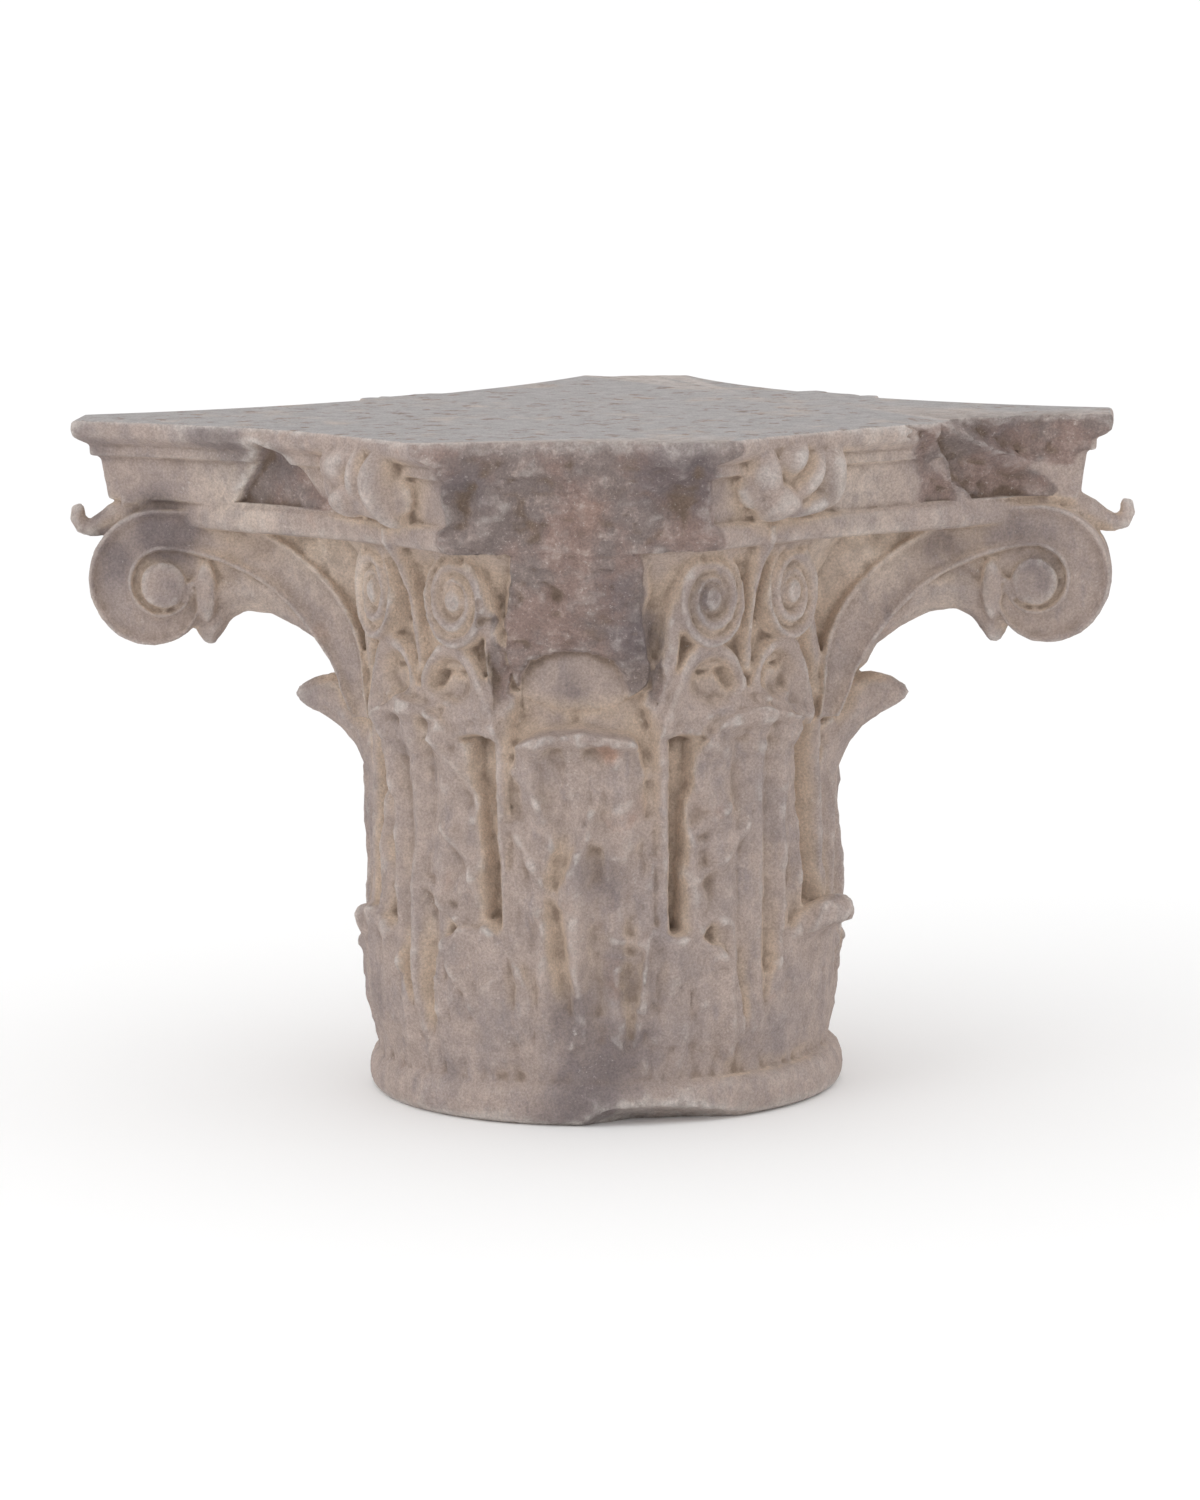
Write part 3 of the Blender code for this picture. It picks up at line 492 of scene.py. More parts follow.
def settle(ob):
    """Turn what the live modifiers make into the piece's own mesh."""
    graph = bpy.context.evaluated_depsgraph_get()
    made = bpy.data.meshes.new_from_object(ob.evaluated_get(graph))
    ob.modifiers.clear()
    ob.data = made


round_axis = copies_tree()


def set_round(ob, count, first, step=LEAF_STEP):
    """Set copies of a piece round the axis, from a first turn on, and add them to the block."""
    angles = {"First turn": math.radians(first), "Step turn": math.radians(step)}
    run_tree(ob, round_axis, {"Count": count, **angles})
    block.append(ob)


set_round(curled_tip("upper_leaf_tips", UPPER_UNDER, UPPER_OVER, 0.062, 0.014, 0.007), 5, 45)
set_round(curled_tip("lower_leaf_tips", LOWER_UNDER, LOWER_OVER, 0.05, 0.016, 0.006), 3, 112.5)
set_round(curled_tip("long_lower_tip", TONGUE_UNDER, TONGUE_OVER, 0.05, 0.026, 0.006), 1, 22.5)

# Corner scrolls: at each corner two bands of the marble rise back to back from the stalks and
# wind round an eye, with a leaf cut between them that hangs in a small point below. The
# fourth corner is only a stump, which the break cuts flush.
SCROLL_REACH = 0.411
SCROLL_LEVEL = 0.4815
EYE_RADIUS = 0.0222
SCROLL_OFFSET = 0.04
BAND_THICK = 0.042
BAND_UPPER = ((0.212, 0.36), (0.215, 0.388), (0.2165, 0.415), (0.224, 0.447), (0.242, 0.479),
              (0.275, 0.511), (0.315, 0.535), (0.356, 0.5505), (0.395, 0.5545))
BAND_LOWER = ((0.23, 0.36), (0.241, 0.384), (0.247, 0.402), (0.259, 0.422), (0.28, 0.449),
              (0.309, 0.477), (0.345, 0.498), (0.378, 0.5095), (0.403, 0.5145))
LAP_TURNS = (0, 45, 90, 140, 180, 205, 230, 255, 280)
LAP_OUTER = (0.073, 0.074, 0.072, 0.0645, 0.056, 0.05, 0.0425, 0.0345, 0.029)
LAP_INNER = (0.0335, 0.0315, 0.0285, 0.0272, 0.027, 0.0268, 0.0267, 0.0266, 0.0266)
BAND_SECTION = ((-1, 0.2), (-0.98, 0.86), (-0.92, 1.0), (-0.8, 1.0), (-0.7, 0.78), (-0.45, 0.68),
                (0, 0.66), (0.45, 0.68), (0.7, 0.78), (0.8, 1.0), (0.92, 1.0), (0.98, 0.86), (1, 0.2),
                (1, -0.6), (0.8, -1), (0.3, -1), (-0.3, -1), (-0.8, -1), (-1, -0.6), (-1, -0.2))


def stalk_side(u):
    """How far the band's outer face lies from the corner plane, at a reach from the axis."""
    share = np.clip((SCROLL_REACH - 0.081 - u) / 0.122, 0, 1.2)
    return SCROLL_OFFSET + 0.049 * share ** 1.6


def scroll_band(side):
    """Stalk band and its lap round the eye, standing along the XZ plane."""
    upper, lower = [[Vector((u, 0, z)) for u, z in edge] for edge in (BAND_UPPER, BAND_LOWER)]
    pairs = []
    for k in range(len(upper) - 1):
        for share in (0, 0.25, 0.5, 0.75):
            knots = [min(max(k + j, 0), len(upper) - 1) for j in (-1, 0, 1, 2)]
            pair = []
            for edge in (upper, lower):
                a, b, c, d = [edge[i] for i in knots]
                bent = 2 * b + (c - a) * share + (2 * a - 5 * b + 4 * c - d) * share ** 2
                pair.append(0.5 * (bent + (3 * b - a - 3 * c + d) * share ** 3))
            pairs.append(pair)
    for swing in range(6, 281, 7):
        outer = float(np.interp(swing, LAP_TURNS, LAP_OUTER))
        inner = float(np.interp(swing, LAP_TURNS, LAP_INNER))
        phi = math.radians(90 - swing)
        ray = Vector((math.cos(phi), 0, math.sin(phi)))
        centre = Vector((SCROLL_REACH, 0, SCROLL_LEVEL))
        pairs.append([centre + ray * outer, centre + ray * inner])
    loops = []
    for top, foot in pairs:
        mid, half = (top + foot) / 2, (top - foot) / 2
        face = float(stalk_side(mid.x))
        slope = float(stalk_side(mid.x + 0.004) - stalk_side(mid.x - 0.004)) / 0.008
        out = Vector((-slope, 1, 0)).normalized()
        loop = []
        for w, d in BAND_SECTION:
            p = mid + half * w
            p = Vector((p.x, face, p.z)) + out * (d - 1) * BAND_THICK / 2
            p.y += slope * half.x * w
            loop.append((p.x, p.y * side, p.z))
        loops.append(loop)
    return solid("scroll_band", loops)


def scroll_disc(side, reach, level, radii, face, dome, name):
    """Round or oval boss on the corner plane: the ground of a scroll, its eye or a leaf."""
    loops = []
    swing = np.radians(np.arange(0, 360, 7.5))
    steps = ((1.0, -0.02), (1.0, face - dome), (0.93, face - 0.45 * dome), (0.72, face - 0.12 * dome),
             (0.35, face), (0.02, face))
    for share, rise in steps:
        u = reach + radii[0] * share * np.cos(swing)
        z = level + radii[1] * share * np.sin(swing)
        loops.append(xyz(u, side * rise, z))
    return solid(name, loops)


CORE_REACH = (0.16, 0.232, 0.252, 0.262, 0.286, 0.312, 0.336, 0.352, 0.362, 0.37, 0.38, 0.4, 0.452)
CORE_FOOT = (0.386, 0.387, 0.401, 0.42, 0.437, 0.45, 0.453, 0.446, 0.43, 0.42, 0.424, 0.468, 0.505)
CORE_HALF = (0.088, 0.064, 0.058, 0.052, 0.043, 0.038, 0.034, 0.031, 0.03, 0.029, 0.028, 0.026, 0.02)
CORE_RISE = (0, 0.02, 0.06, 0.14, 0.3, 0.6, 1)
CORE_FILL = (0.1, 0.45, 0.68, 0.84, 0.92, 0.95, 0.95)


def corner_core():
    """Stone between two back-to-back scrolls, with its leafy underside and hanging point."""
    loops = []
    for u in np.linspace(CORE_REACH[0], CORE_REACH[-1], 64):
        foot = float(np.interp(u, CORE_REACH, CORE_FOOT))
        half = float(np.interp(u, CORE_REACH, CORE_HALF))
        right = []
        for rise in np.linspace(0, 1, 16) ** 1.6:
            wide = half * float(np.interp(rise, CORE_RISE, CORE_FILL))
            wide += 0.0028 * math.cos(150 * (foot - 0.36) + 26 * rise) * min(1.0, 8 * rise) * (u > 0.25)
            right.append((u, wide, foot + (SLAB_FOOT + 0.006 - foot) * rise))
        left = [(x, -y, z) for x, y, z in reversed(right)]
        loops.append(right + left)
    return solid("corner_core", loops)


HOOK_PATH = ((-0.03, -0.01), (-0.004, -0.012), (0.01, -0.019), (0.022, -0.025), (0.033, -0.028),
             (0.0415, -0.026), (0.0455, -0.018), (0.045, -0.01), (0.0405, -0.0075))
HOOK_WIDE = (0.034, 0.034, 0.031, 0.028, 0.025, 0.022, 0.019, 0.016, 0.008)
HOOK_DEEP = (0.028, 0.03, 0.028, 0.022, 0.0175, 0.016, 0.015, 0.013, 0.007)


def hook():
    """Leaf tip that curls up outside the corner, just under the slab."""
    root = Vector((0.452, 0, SLAB_FOOT))
    path = [root + Vector((u, 0, z)) for u, z in HOOK_PATH]
    loops = []
    for k, centre in enumerate(path):
        run = (path[min(k + 1, len(path) - 1)] - path[max(k - 1, 0)]).normalized()
        out = Vector((-run.z, 0, run.x))
        loop = []
        for step in range(16):
            phi = 2 * math.pi * step / 16
            side = Vector((0, 1, 0)) * math.cos(phi) * HOOK_WIDE[k] / 2
            loop.append(centre + side + out * math.sin(phi) * HOOK_DEEP[k] / 2)
        loops.append(loop)
    return solid("hook", loops)


def joined(pieces, name):
    """Several shells as one object."""
    with bpy.context.temp_override(active_object=pieces[0], selected_editable_objects=pieces):
        bpy.ops.object.join()
    pieces[0].name = name
    return pieces[0]


DISCS = (("ground", 0.0, 0.0, (0.048, 0.048), -0.0075, 0.004),
         ("eye", 0.0, 0.0, (EYE_RADIUS, EYE_RADIUS), 0.001, 0.004),
         ("crescent", -0.0395, -0.006, (0.011, 0.031), -0.001, 0.012))
corner = [corner_core(), hook()]
for side in (1, -1):
    corner.append(scroll_band(side))
    for name, further, higher, radii, rise, dome in DISCS:
        reach, level, face = SCROLL_REACH + further, SCROLL_LEVEL + higher, SCROLL_OFFSET + rise
        corner.append(scroll_disc(side, reach, level, radii, face, dome, name))
set_round(joined(corner, "corner_scrolls"), 3, 45, 90)
BROKEN_CORNER = -45
stump = corner_core()
spots = np.array([tuple(point.co) for point in stump.data.vertices])
for point, share in zip(stump.data.vertices, 1 + 0.17 * lumps(spots, 0.04, 98)):
    point.co.y *= share
set_round(stump, 1, BROKEN_CORNER)

# The lip of the bell and the top slab: a thin band with hollow sides under a slab that
# has an ovolo, a fillet and a hollow-sided fascia. Its four corners run out to horns.
FACE_MID = 0.292
HORN_REACH = 0.497
HORN_HALF = 0.033
LIP_MID = 0.263
WORN_HORN = 0.012


def hollow_side(y, inset):
    """Distance of a hollow slab side from the axis, at a place y along it."""
    end_x = (HORN_REACH + HORN_HALF) / math.sqrt(2)
    end_y = (HORN_REACH - HORN_HALF) / math.sqrt(2)
    sag = end_x - FACE_MID
    radius = (end_y ** 2 + sag ** 2) / (2 * sag)
    return FACE_MID - inset + radius - np.sqrt(radius ** 2 - np.asarray(y) ** 2)


def turned(points, degrees):
    """Points turned about the upright axis."""
    c, s = math.cos(math.radians(degrees)), math.sin(math.radians(degrees))
    x, y, z = np.moveaxis(np.asarray(points, dtype=float), -1, 0)
    return xyz(x * c - y * s, x * s + y * c, z)


def four_sides(half, inset, reach, level, draw=0.0):
    """Closed plan with four hollow sides; the corners are cut square to the diagonals."""
    sides = []
    for turn in (0, 90, 180, 270):
        y = np.linspace(-half, half, 60)
        x = hollow_side(y, inset) - draw * smooth((abs(y) - 0.17) / 0.09)
        worn = np.where((y > 0) == (turn == 0), WORN_HORN, 0.0) * (turn in (0, 90))
        spill = np.maximum((x + abs(y)) / math.sqrt(2) - reach + worn, 0) / math.sqrt(2)
        sides.append(turned(xyz(x - spill, y - np.sign(y) * spill, level), turn))
    return np.concatenate(sides)


SLAB_STEPS = ((HEIGHT, 0.0035), (HEIGHT - 0.0025, 0.0008), (HEIGHT - 0.009, 0.0),
              (HEIGHT - 0.0145, 0.002), (HEIGHT - 0.019, 0.0075), (HEIGHT - 0.0225, 0.015),
              (HEIGHT - 0.0235, 0.0175), (HEIGHT - 0.034, 0.018), (HEIGHT - 0.0355, 0.0265),
              (HEIGHT - 0.04, 0.0285), (SLAB_FOOT, 0.0345))
horn_end = (HORN_REACH - HORN_HALF) / math.sqrt(2)
slab = [four_sides(horn_end, inset, HORN_REACH - 0.9 * inset, level) for level, inset in SLAB_STEPS]
block.append(solid("top_slab", slab))
LIP_STEPS = ((LIP_FOOT - 0.002, 0.012), (LIP_FOOT + 0.001, 0.003), (LIP_FOOT + 0.008, 0.0),
             (SLAB_FOOT - 0.006, 0.0), (SLAB_FOOT - 0.0025, 0.002), (SLAB_FOOT - 0.0015, 0.014),
             (SLAB_FOOT + 0.004, 0.014))
lip = [four_sides(0.288, FACE_MID - LIP_MID + inset, 0.44, level, 0.01) for level, inset in LIP_STEPS]
block.append(solid("bell_lip", lip))

# Flower lumps: one in the middle of each side of the slab. The petals are worn down to
# soft lobes with drilled grooves between them, and each of the four was cut differently.
FLOWER_LEVEL = (SLAB_FOOT + HEIGHT) / 2 - 0.001
FLOWER_BASE = FACE_MID - 0.021
SWIRLED = ((-0.04, 0.006, 0.015, 0.026, 0.03, 14), (-0.022, -0.02, 0.021, 0.017, 0.031, -30),
           (-0.014, 0.017, 0.02, 0.014, 0.036, 35), (0.006, 0.000, 0.011, 0.027, 0.037, -38),
           (0.034, 0.002, 0.02, 0.028, 0.033, 8), (0.014, -0.026, 0.021, 0.011, 0.028, 12),
           (0.0, 0.0, 0.05, 0.034, 0.021, 0))
DROPPED = ((0.032, -0.003, 0.017, 0.033, 0.037, 6), (-0.02, 0.012, 0.028, 0.019, 0.032, 24),
           (0.006, 0.004, 0.013, 0.028, 0.033, -8), (-0.02, -0.018, 0.022, 0.014, 0.029, 30),
           (-0.042, 0.01, 0.011, 0.022, 0.024, 0), (0.0, 0.0, 0.052, 0.036, 0.022, 0))


def flower(turn, lobes):
    """Rounded lobes on a slab side, each with its y, z, half width, half height, rise and lean."""
    shells = []
    for y0, z0, wide, tall, rise, lean in lobes:
        loops = []
        c, s = math.cos(math.radians(lean)), math.sin(math.radians(lean))
        for lat in np.radians(np.linspace(-88, 88, 20)):
            lon = np.radians(np.arange(0, 360, 12))
            worn = 1.16 + 0.16 * np.cos(3 * lon + 40 * wide + 90 * y0) * math.cos(lat)
            a, b = wide * worn * math.cos(lat) * np.cos(lon), tall * worn * math.cos(lat) * np.sin(lon)
            y, z = y0 + a * c - b * s, FLOWER_LEVEL + z0 + a * s + b * c
            z = np.clip(z, SLAB_FOOT - 0.013, HEIGHT - 0.0008)
            loops.append(turned(xyz(FLOWER_BASE + rise * math.sin(lat), y, z), turn))
        shells.append(solid("petal", loops))
    return joined(shells, "flower")


block.append(flower(0, SWIRLED))
block.append(flower(-90, DROPPED))
for turn, lobes in ((90, SWIRLED), (180, DROPPED)):
    fuller = [(y, z, wide, 2.2 * tall, rise + 0.022, lean) for y, z, wide, tall, rise, lean in lobes]
    block.append(flower(turn, fuller))

# One block of marble: all shells are melted into a single skin, as they are one stone. Then
# what was lost is broken off: the front corner, the mouldings beside the right horn, a flake
# on the left, the end of the far horn and a piece of the foot ring.
VOXEL = 0.0021
capital = joined(block, "capital_stone")
melt = capital.modifiers.new("melt", "REMESH")
melt.mode = "VOXEL"
melt.voxel_size = VOXEL
settle(capital)


def breaker(name, place, rows, cols):
    """Cutter between a broken face, given as place(s, t), and a far copy of it."""
    loops = []
    for i in range(rows):
        t = np.linspace(0, 1, cols)
        near, far = place(np.full(cols, i / (rows - 1)), t)
        loops.append(np.concatenate([near, far[::-1]]))
    ob = solid(name, loops)
    ob.hide_render = True
    ob.display_type = "WIRE"
    return ob


SCAR_LEVELS = (0.53, 0.545, 0.565, HEIGHT)
SCAR_DEPTHS = (0.242, 0.25, 0.26, 0.274)
LEG_LEVELS = (0.379, 0.392, 0.412, 0.44, 0.48, 0.52)
LEG_RADII = (0.228, 0.218, 0.214, 0.222, 0.233, 0.24)
SCAR_TURN = BROKEN_CORNER + 5.1
CUT_AWAY = 0.64
SCAR_SPOTS = ((-0.125, 0.585, 0.02, -0.016), (-0.07, 0.56, 0.022, -0.012), (0.085, 0.6, 0.026, -0.012),
              (0.07, 0.583, 0.02, -0.01), (0.01, 0.49, 0.02, -0.006), (-0.045, 0.6, 0.014, -0.007),
              (0.08, 0.628, 0.032, 0.026), (-0.01, 0.56, 0.05, 0.006), (-0.15, 0.615, 0.02, 0.008),
              (-0.035, 0.512, 0.03, 0.005))
DOME_MIDDLE = -0.026
DOME_LEVELS = (0.37, 0.405, 0.42, 0.431, 0.438, 0.441)
DOME_HALF = (0.052, 0.051, 0.047, 0.039, 0.025, 0.0)


def in_dome(u, z):
    """1 on the smooth round-headed patch of bell under the break, 0 elsewhere."""
    half = np.interp(z, DOME_LEVELS, DOME_HALF)
    return smooth((half - abs(u - DOME_MIDDLE) + 0.002) / 0.005) * (z < DOME_LEVELS[-1])


def scar_depth(u, z):
    """How far the broken face at the lost corner lies from the axis."""
    point = xyz(u, 0, z)
    depth = np.interp(z, SCAR_LEVELS, SCAR_DEPTHS) + 0.045 * u * smooth((z - 0.52) / 0.08)
    for spot_u, spot_z, size, high in SCAR_SPOTS:
        depth = depth + high * np.exp(-((u - spot_u) / size) ** 2 - ((z - spot_z) / size) ** 2)
    legs = np.interp(z, LEG_LEVELS, LEG_RADII)
    beside = abs(u + 0.027) - 0.074 + 0.014 * lumps(point, 0.04, 74)
    legs = np.sqrt(np.maximum(legs ** 2 - (0.9 * u) ** 2, 0.01)) + 0.04 * smooth(beside / 0.02)
    depth = legs + (depth - legs) * smooth((z - 0.49) / 0.05)
    rough = 0.016 * (abs(grain(point, 0.042, 71)) - 0.35)
    rough = rough + 0.0075 * lumps(point * [1, 1, 1.5], 0.022, 72, 5)
    depth = depth + rough * (1 - 0.75 * smooth((z - 0.612) / 0.018)) * smooth((z - 0.385) / 0.04)
    plain = np.sqrt(np.maximum((np.interp(z, BELL_LEVELS, BELL_RADII) + 0.0008) ** 2 - u ** 2, 0.01))
    return np.maximum(depth + (plain - depth) * in_dome(u, z), plain)


def front_break(s, t):
    """The lost front corner, down to the leaf under it."""
    z = LEG_LEVELS[0] + (HEIGHT + 0.025 - LEG_LEVELS[0]) * s
    u = -0.26 + 0.52 * t
    near, far = xyz(scar_depth(u, z), u, z), xyz(CUT_AWAY, u * 2.4, z)
    return turned(near, SCAR_TURN), turned(far, SCAR_TURN)


def right_scar_face(y, z):
    """Distance from the axis of the broken mouldings beside the right horn."""
    share = np.clip((y - 0.128) / 0.2, 0, 1)
    rise = (z - SLAB_FOOT) / (HEIGHT - SLAB_FOOT)
    bite = 0.054 * np.sin(np.pi * np.clip(share, 0.02, 0.98)) ** 0.5 - 0.006
    point = xyz(0, y, z)
    ridge = (y - 0.175) * 0.42 + (z - 0.628)
    slant = (y - 0.172) + (z - 0.6) * 0.8
    x = hollow_side(y, bite * (1.0 - 0.45 * rise ** 2))
    x = x + 0.02 * np.maximum(0, 1 - abs(ridge) / 0.014)
    x = x + 0.016 * np.maximum(0, 1 - abs(slant) / 0.013)
    return x + 0.009 * (abs(grain(point, 0.03, 81)) - 0.3) + 0.007 * lumps(point, 0.014, 82, 4)


def right_scar(s, t):
    """The mouldings lost beside the right horn."""
    z = SLAB_FOOT + 0.0005 + 0.1 * s
    y = 0.128 + 0.2 * t - 0.01 * s * (1 - t) + 0.004 * np.sin(60 * s + 3) * (1 - t)
    x = right_scar_face(y, z)
    return xyz(x, y, z), xyz(x + 0.16, y - 0.04 * (1 - 2 * t), z)


def left_scar_face(y, z):
    """Distance from the axis of the bare triangle in the left fascia."""
    share = np.clip((y + 0.19) / 0.11, 0, 1)
    point = xyz(0, y, z)
    inset = 0.044 - 0.01 * share - 0.012 * smooth((z - SLAB_FOOT - 0.045) / 0.02)
    return hollow_side(y, inset) + 0.0045 * lumps(point, 0.02, 85, 3)


def left_scar(s, t):
    """The three-cornered flake lost from the left fascia."""
    z = SLAB_FOOT + 0.002 + 0.062 * s
    apart = 0.112 * (1 - s) ** 0.8 + 0.004
    y = -0.192 + 0.052 * s + apart * t
    x = left_scar_face(y, z)
    return turned(xyz(x, y, z), -90), turned(xyz(x + 0.06, y, z), -90)


def horn_end_break(s, t):
    """Blunt broken end of the far horn."""
    z = 0.512 + 0.145 * s
    u = -0.16 + 0.32 * t
    depth = 0.428 - 0.25 * np.maximum(0.0, abs(u + 0.01) - 0.07) + 0.1 * (z - HEIGHT)
    depth = depth + 0.014 * lumps(xyz(u, 2.0, z), 0.03, 91, 4) + 0.08 * smooth((0.562 - z) / 0.045)
    return turned(xyz(depth, u, z), 135), turned(xyz(CUT_AWAY, u, z), 135)


def ring_break(s, t):
    """Lower edge of the foot ring, broken away towards the front right."""
    angle = np.radians(-46 + 44 * t)
    deep = 0.04 * np.sin(np.pi * np.clip(t, 0.03, 0.97) ** 0.75) ** 0.8
    tall = 0.01 + 0.017 * np.sin(np.pi * np.clip(t, 0.02, 0.98) ** 0.6)
    point = xyz(angle * 0.2, 0, s * 0.03)
    reach = RING_RADIUS - deep + (deep + 0.01) * s ** 1.5 + 0.004 * lumps(point, 0.02, 96, 3)
    return polar(reach, angle, -0.004 + tall * s), polar(0.27, angle, -0.02 + 0.012 * s)


breakers = [breaker("front_break", front_break, 110, 120), breaker("right_scar", right_scar, 50, 80),
            breaker("left_scar", left_scar, 40, 50), breaker("horn_end_break", horn_end_break, 40, 60),
            breaker("ring_break", ring_break, 12, 60)]
for cutter in breakers:
    step = capital.modifiers.new(cutter.name, "BOOLEAN")
    step.operation = "DIFFERENCE"
    step.object = cutter
    step.solver = "MANIFOLD"
settle(capital)
for cutter in breakers:
    bpy.data.objects.remove(cutter, do_unlink=True)


# Weathering: the whole skin is pitted and softened, most of all on the broken faces. The
# mesh is then thinned to what the eye can see, and the two flat beds are left flat.
def weather_tree():
    """Node tree that drops crumbs and moves the skin in and out by noise."""
    tree = new_tree("weather", [(label, "Float") for label in ("Lump size", "Depth", "Seed", "Crumb")])
    add, link = tree.nodes.new, tree.links.new
    given, result = add("NodeGroupInput"), add("NodeGroupOutput")
    island, total = add("GeometryNodeInputMeshIsland"), add("GeometryNodeAccumulateField")
    small, drop = add("FunctionNodeCompare"), add("GeometryNodeDeleteGeometry")
    small.operation = "LESS_THAN"
    total.inputs["Value"].default_value = 1.0
    link(island.outputs["Island Index"], total.inputs["Group Index"])
    link(total.outputs["Total"], small.inputs["A"])
    link(given.outputs["Crumb"], small.inputs["B"])
    link(given.outputs["Geometry"], drop.inputs["Geometry"])
    link(small.outputs[0], drop.inputs["Selection"])
    size, noise = add("ShaderNodeMath"), add("ShaderNodeTexNoise")
    size.operation, noise.noise_dimensions = "DIVIDE", "4D"
    size.inputs[0].default_value = 1.0
    noise.inputs["Detail"].default_value = 3.0
    noise.inputs["Roughness"].default_value = 0.55
    link(given.outputs["Lump size"], size.inputs[1])
    link(size.outputs[0], noise.inputs["Scale"])
    link(given.outputs["Seed"], noise.inputs["W"])
    centre, much, masked = add("ShaderNodeMath"), add("ShaderNodeMath"), add("ShaderNodeMath")
    centre.operation, much.operation, masked.operation = "SUBTRACT", "MULTIPLY", "MULTIPLY"
    centre.inputs[1].default_value = 0.5
    wear, normal = add("GeometryNodeInputNamedAttribute"), add("GeometryNodeInputNormal")
    wear.inputs["Name"].default_value = "wear"
    shift, move = add("ShaderNodeVectorMath"), add("GeometryNodeSetPosition")
    shift.operation = "SCALE"
    link(noise.outputs[0], centre.inputs[0])
    link(centre.outputs[0], much.inputs[0])
    link(given.outputs["Depth"], much.inputs[1])
    link(much.outputs[0], masked.inputs[0])
    link(wear.outputs["Attribute"], masked.inputs[1])
    link(normal.outputs[0], shift.inputs[0])
    link(masked.outputs[0], shift.inputs["Scale"])
    link(drop.outputs[0], move.inputs["Geometry"])
    link(shift.outputs[0], move.inputs["Offset"])
    dress = add("GeometryNodeSetMaterial")
    dress.inputs["Material"].default_value = stone
    link(move.outputs[0], dress.inputs["Geometry"])
    link(dress.outputs[0], result.inputs[0])
    return tree


def read(items, field):
    """A field of three numbers, of each of the mesh's points, as rows."""
    flat = np.empty(len(items) * 3)
    items.foreach_get(field, flat)
    return flat.reshape(-1, 3)


def write(mesh, name, values):
    """Keep one number for each vertex as an attribute."""
    layer = mesh.attributes.get(name) or mesh.attributes.new(name, "FLOAT", "POINT")
    layer.data.foreach_set("value", np.asarray(values, dtype=np.float32))


def scar_share(points):
    """Nearness of points to the broken faces, from 0 to 1."""
    at_front = turned(points, -SCAR_TURN)
    u, z = at_front[:, 1], at_front[:, 2]
    gap = abs(at_front[:, 0] - scar_depth(u, z))
    reach = 0.082 + 0.11 * smooth((z - 0.525) / 0.02)
    front = hump(gap, 0.004) * smooth((z - 0.38) / 0.03) * smooth((reach - abs(u + 0.022)) / 0.008)
    front = front * (1 - in_dome(u, z)) * (at_front[:, 0] > 0)
    gap = abs(points[:, 0] - right_scar_face(points[:, 1], points[:, 2]))
    right = hump(gap, 0.0035) * (points[:, 2] > SLAB_FOOT) * smooth((points[:, 1] - 0.128) / 0.01)
    right = right * (points[:, 1] < 0.335)
    at_left = turned(points, 90)
    gap = abs(at_left[:, 0] - left_scar_face(at_left[:, 1], at_left[:, 2]))
    left = hump(gap, 0.0035) * (points[:, 2] > SLAB_FOOT) * (points[:, 2] < SLAB_FOOT + 0.062)
    left = left * (at_left[:, 1] > -0.195) * (at_left[:, 1] < -0.075)
    return np.maximum(np.maximum(front, right), left) * (points[:, 2] < HEIGHT - 0.0006)


points = read(capital.data.vertices, "co")
beds = smooth((points[:, 2] - 0.0015) / 0.008) * smooth((HEIGHT - 0.0012 - points[:, 2]) / 0.008)
carving = smooth((SLAB_FOOT - points[:, 2]) / 0.02)
write(capital.data, "wear", beds * (0.45 + 0.35 * carving + 1.0 * scar_share(points)))
weather = weather_tree()
CRUMB_POINTS = 2000.0
for size, deep, seed in ((0.016, 0.0036, 3.0), (0.005, 0.0016, 8.0)):
    run_tree(capital, weather, {"Lump size": size, "Depth": deep, "Seed": seed, "Crumb": CRUMB_POINTS})

MOST_TRIANGLES = 192000
triangles = sum(len(face.vertices) - 2 for face in capital.data.polygons)
thin = capital.modifiers.new("thin", "DECIMATE")
thin.ratio = MOST_TRIANGLES / triangles
settle(capital)

# The marks of age on the stone, kept as numbers on its points: how closed in a place is,
# how sharp its edge (which also sets painted crease shade and painted edge highlights), whether it is
# broken, and where the top bed lies.
mesh = capital.data
mesh.shade_smooth()
points, normals = read(mesh.vertices, "co"), read(mesh.vertex_normals, "vector")
edges = np.empty(len(mesh.edges) * 2, dtype=np.int64)
mesh.edges.foreach_get("vertices", edges)
edges = edges.reshape(-1, 2)
degree = np.maximum(np.bincount(edges.ravel(), minlength=len(points)), 1)


def spread_out(values, times):
    """Values averaged with their neighbours, some number of times."""
    for _ in range(times):
        total = np.bincount(edges[:, 0], values[edges[:, 1]], len(points))
        total += np.bincount(edges[:, 1], values[edges[:, 0]], len(points))
        values = 0.5 * values + 0.5 * total / degree
    return values


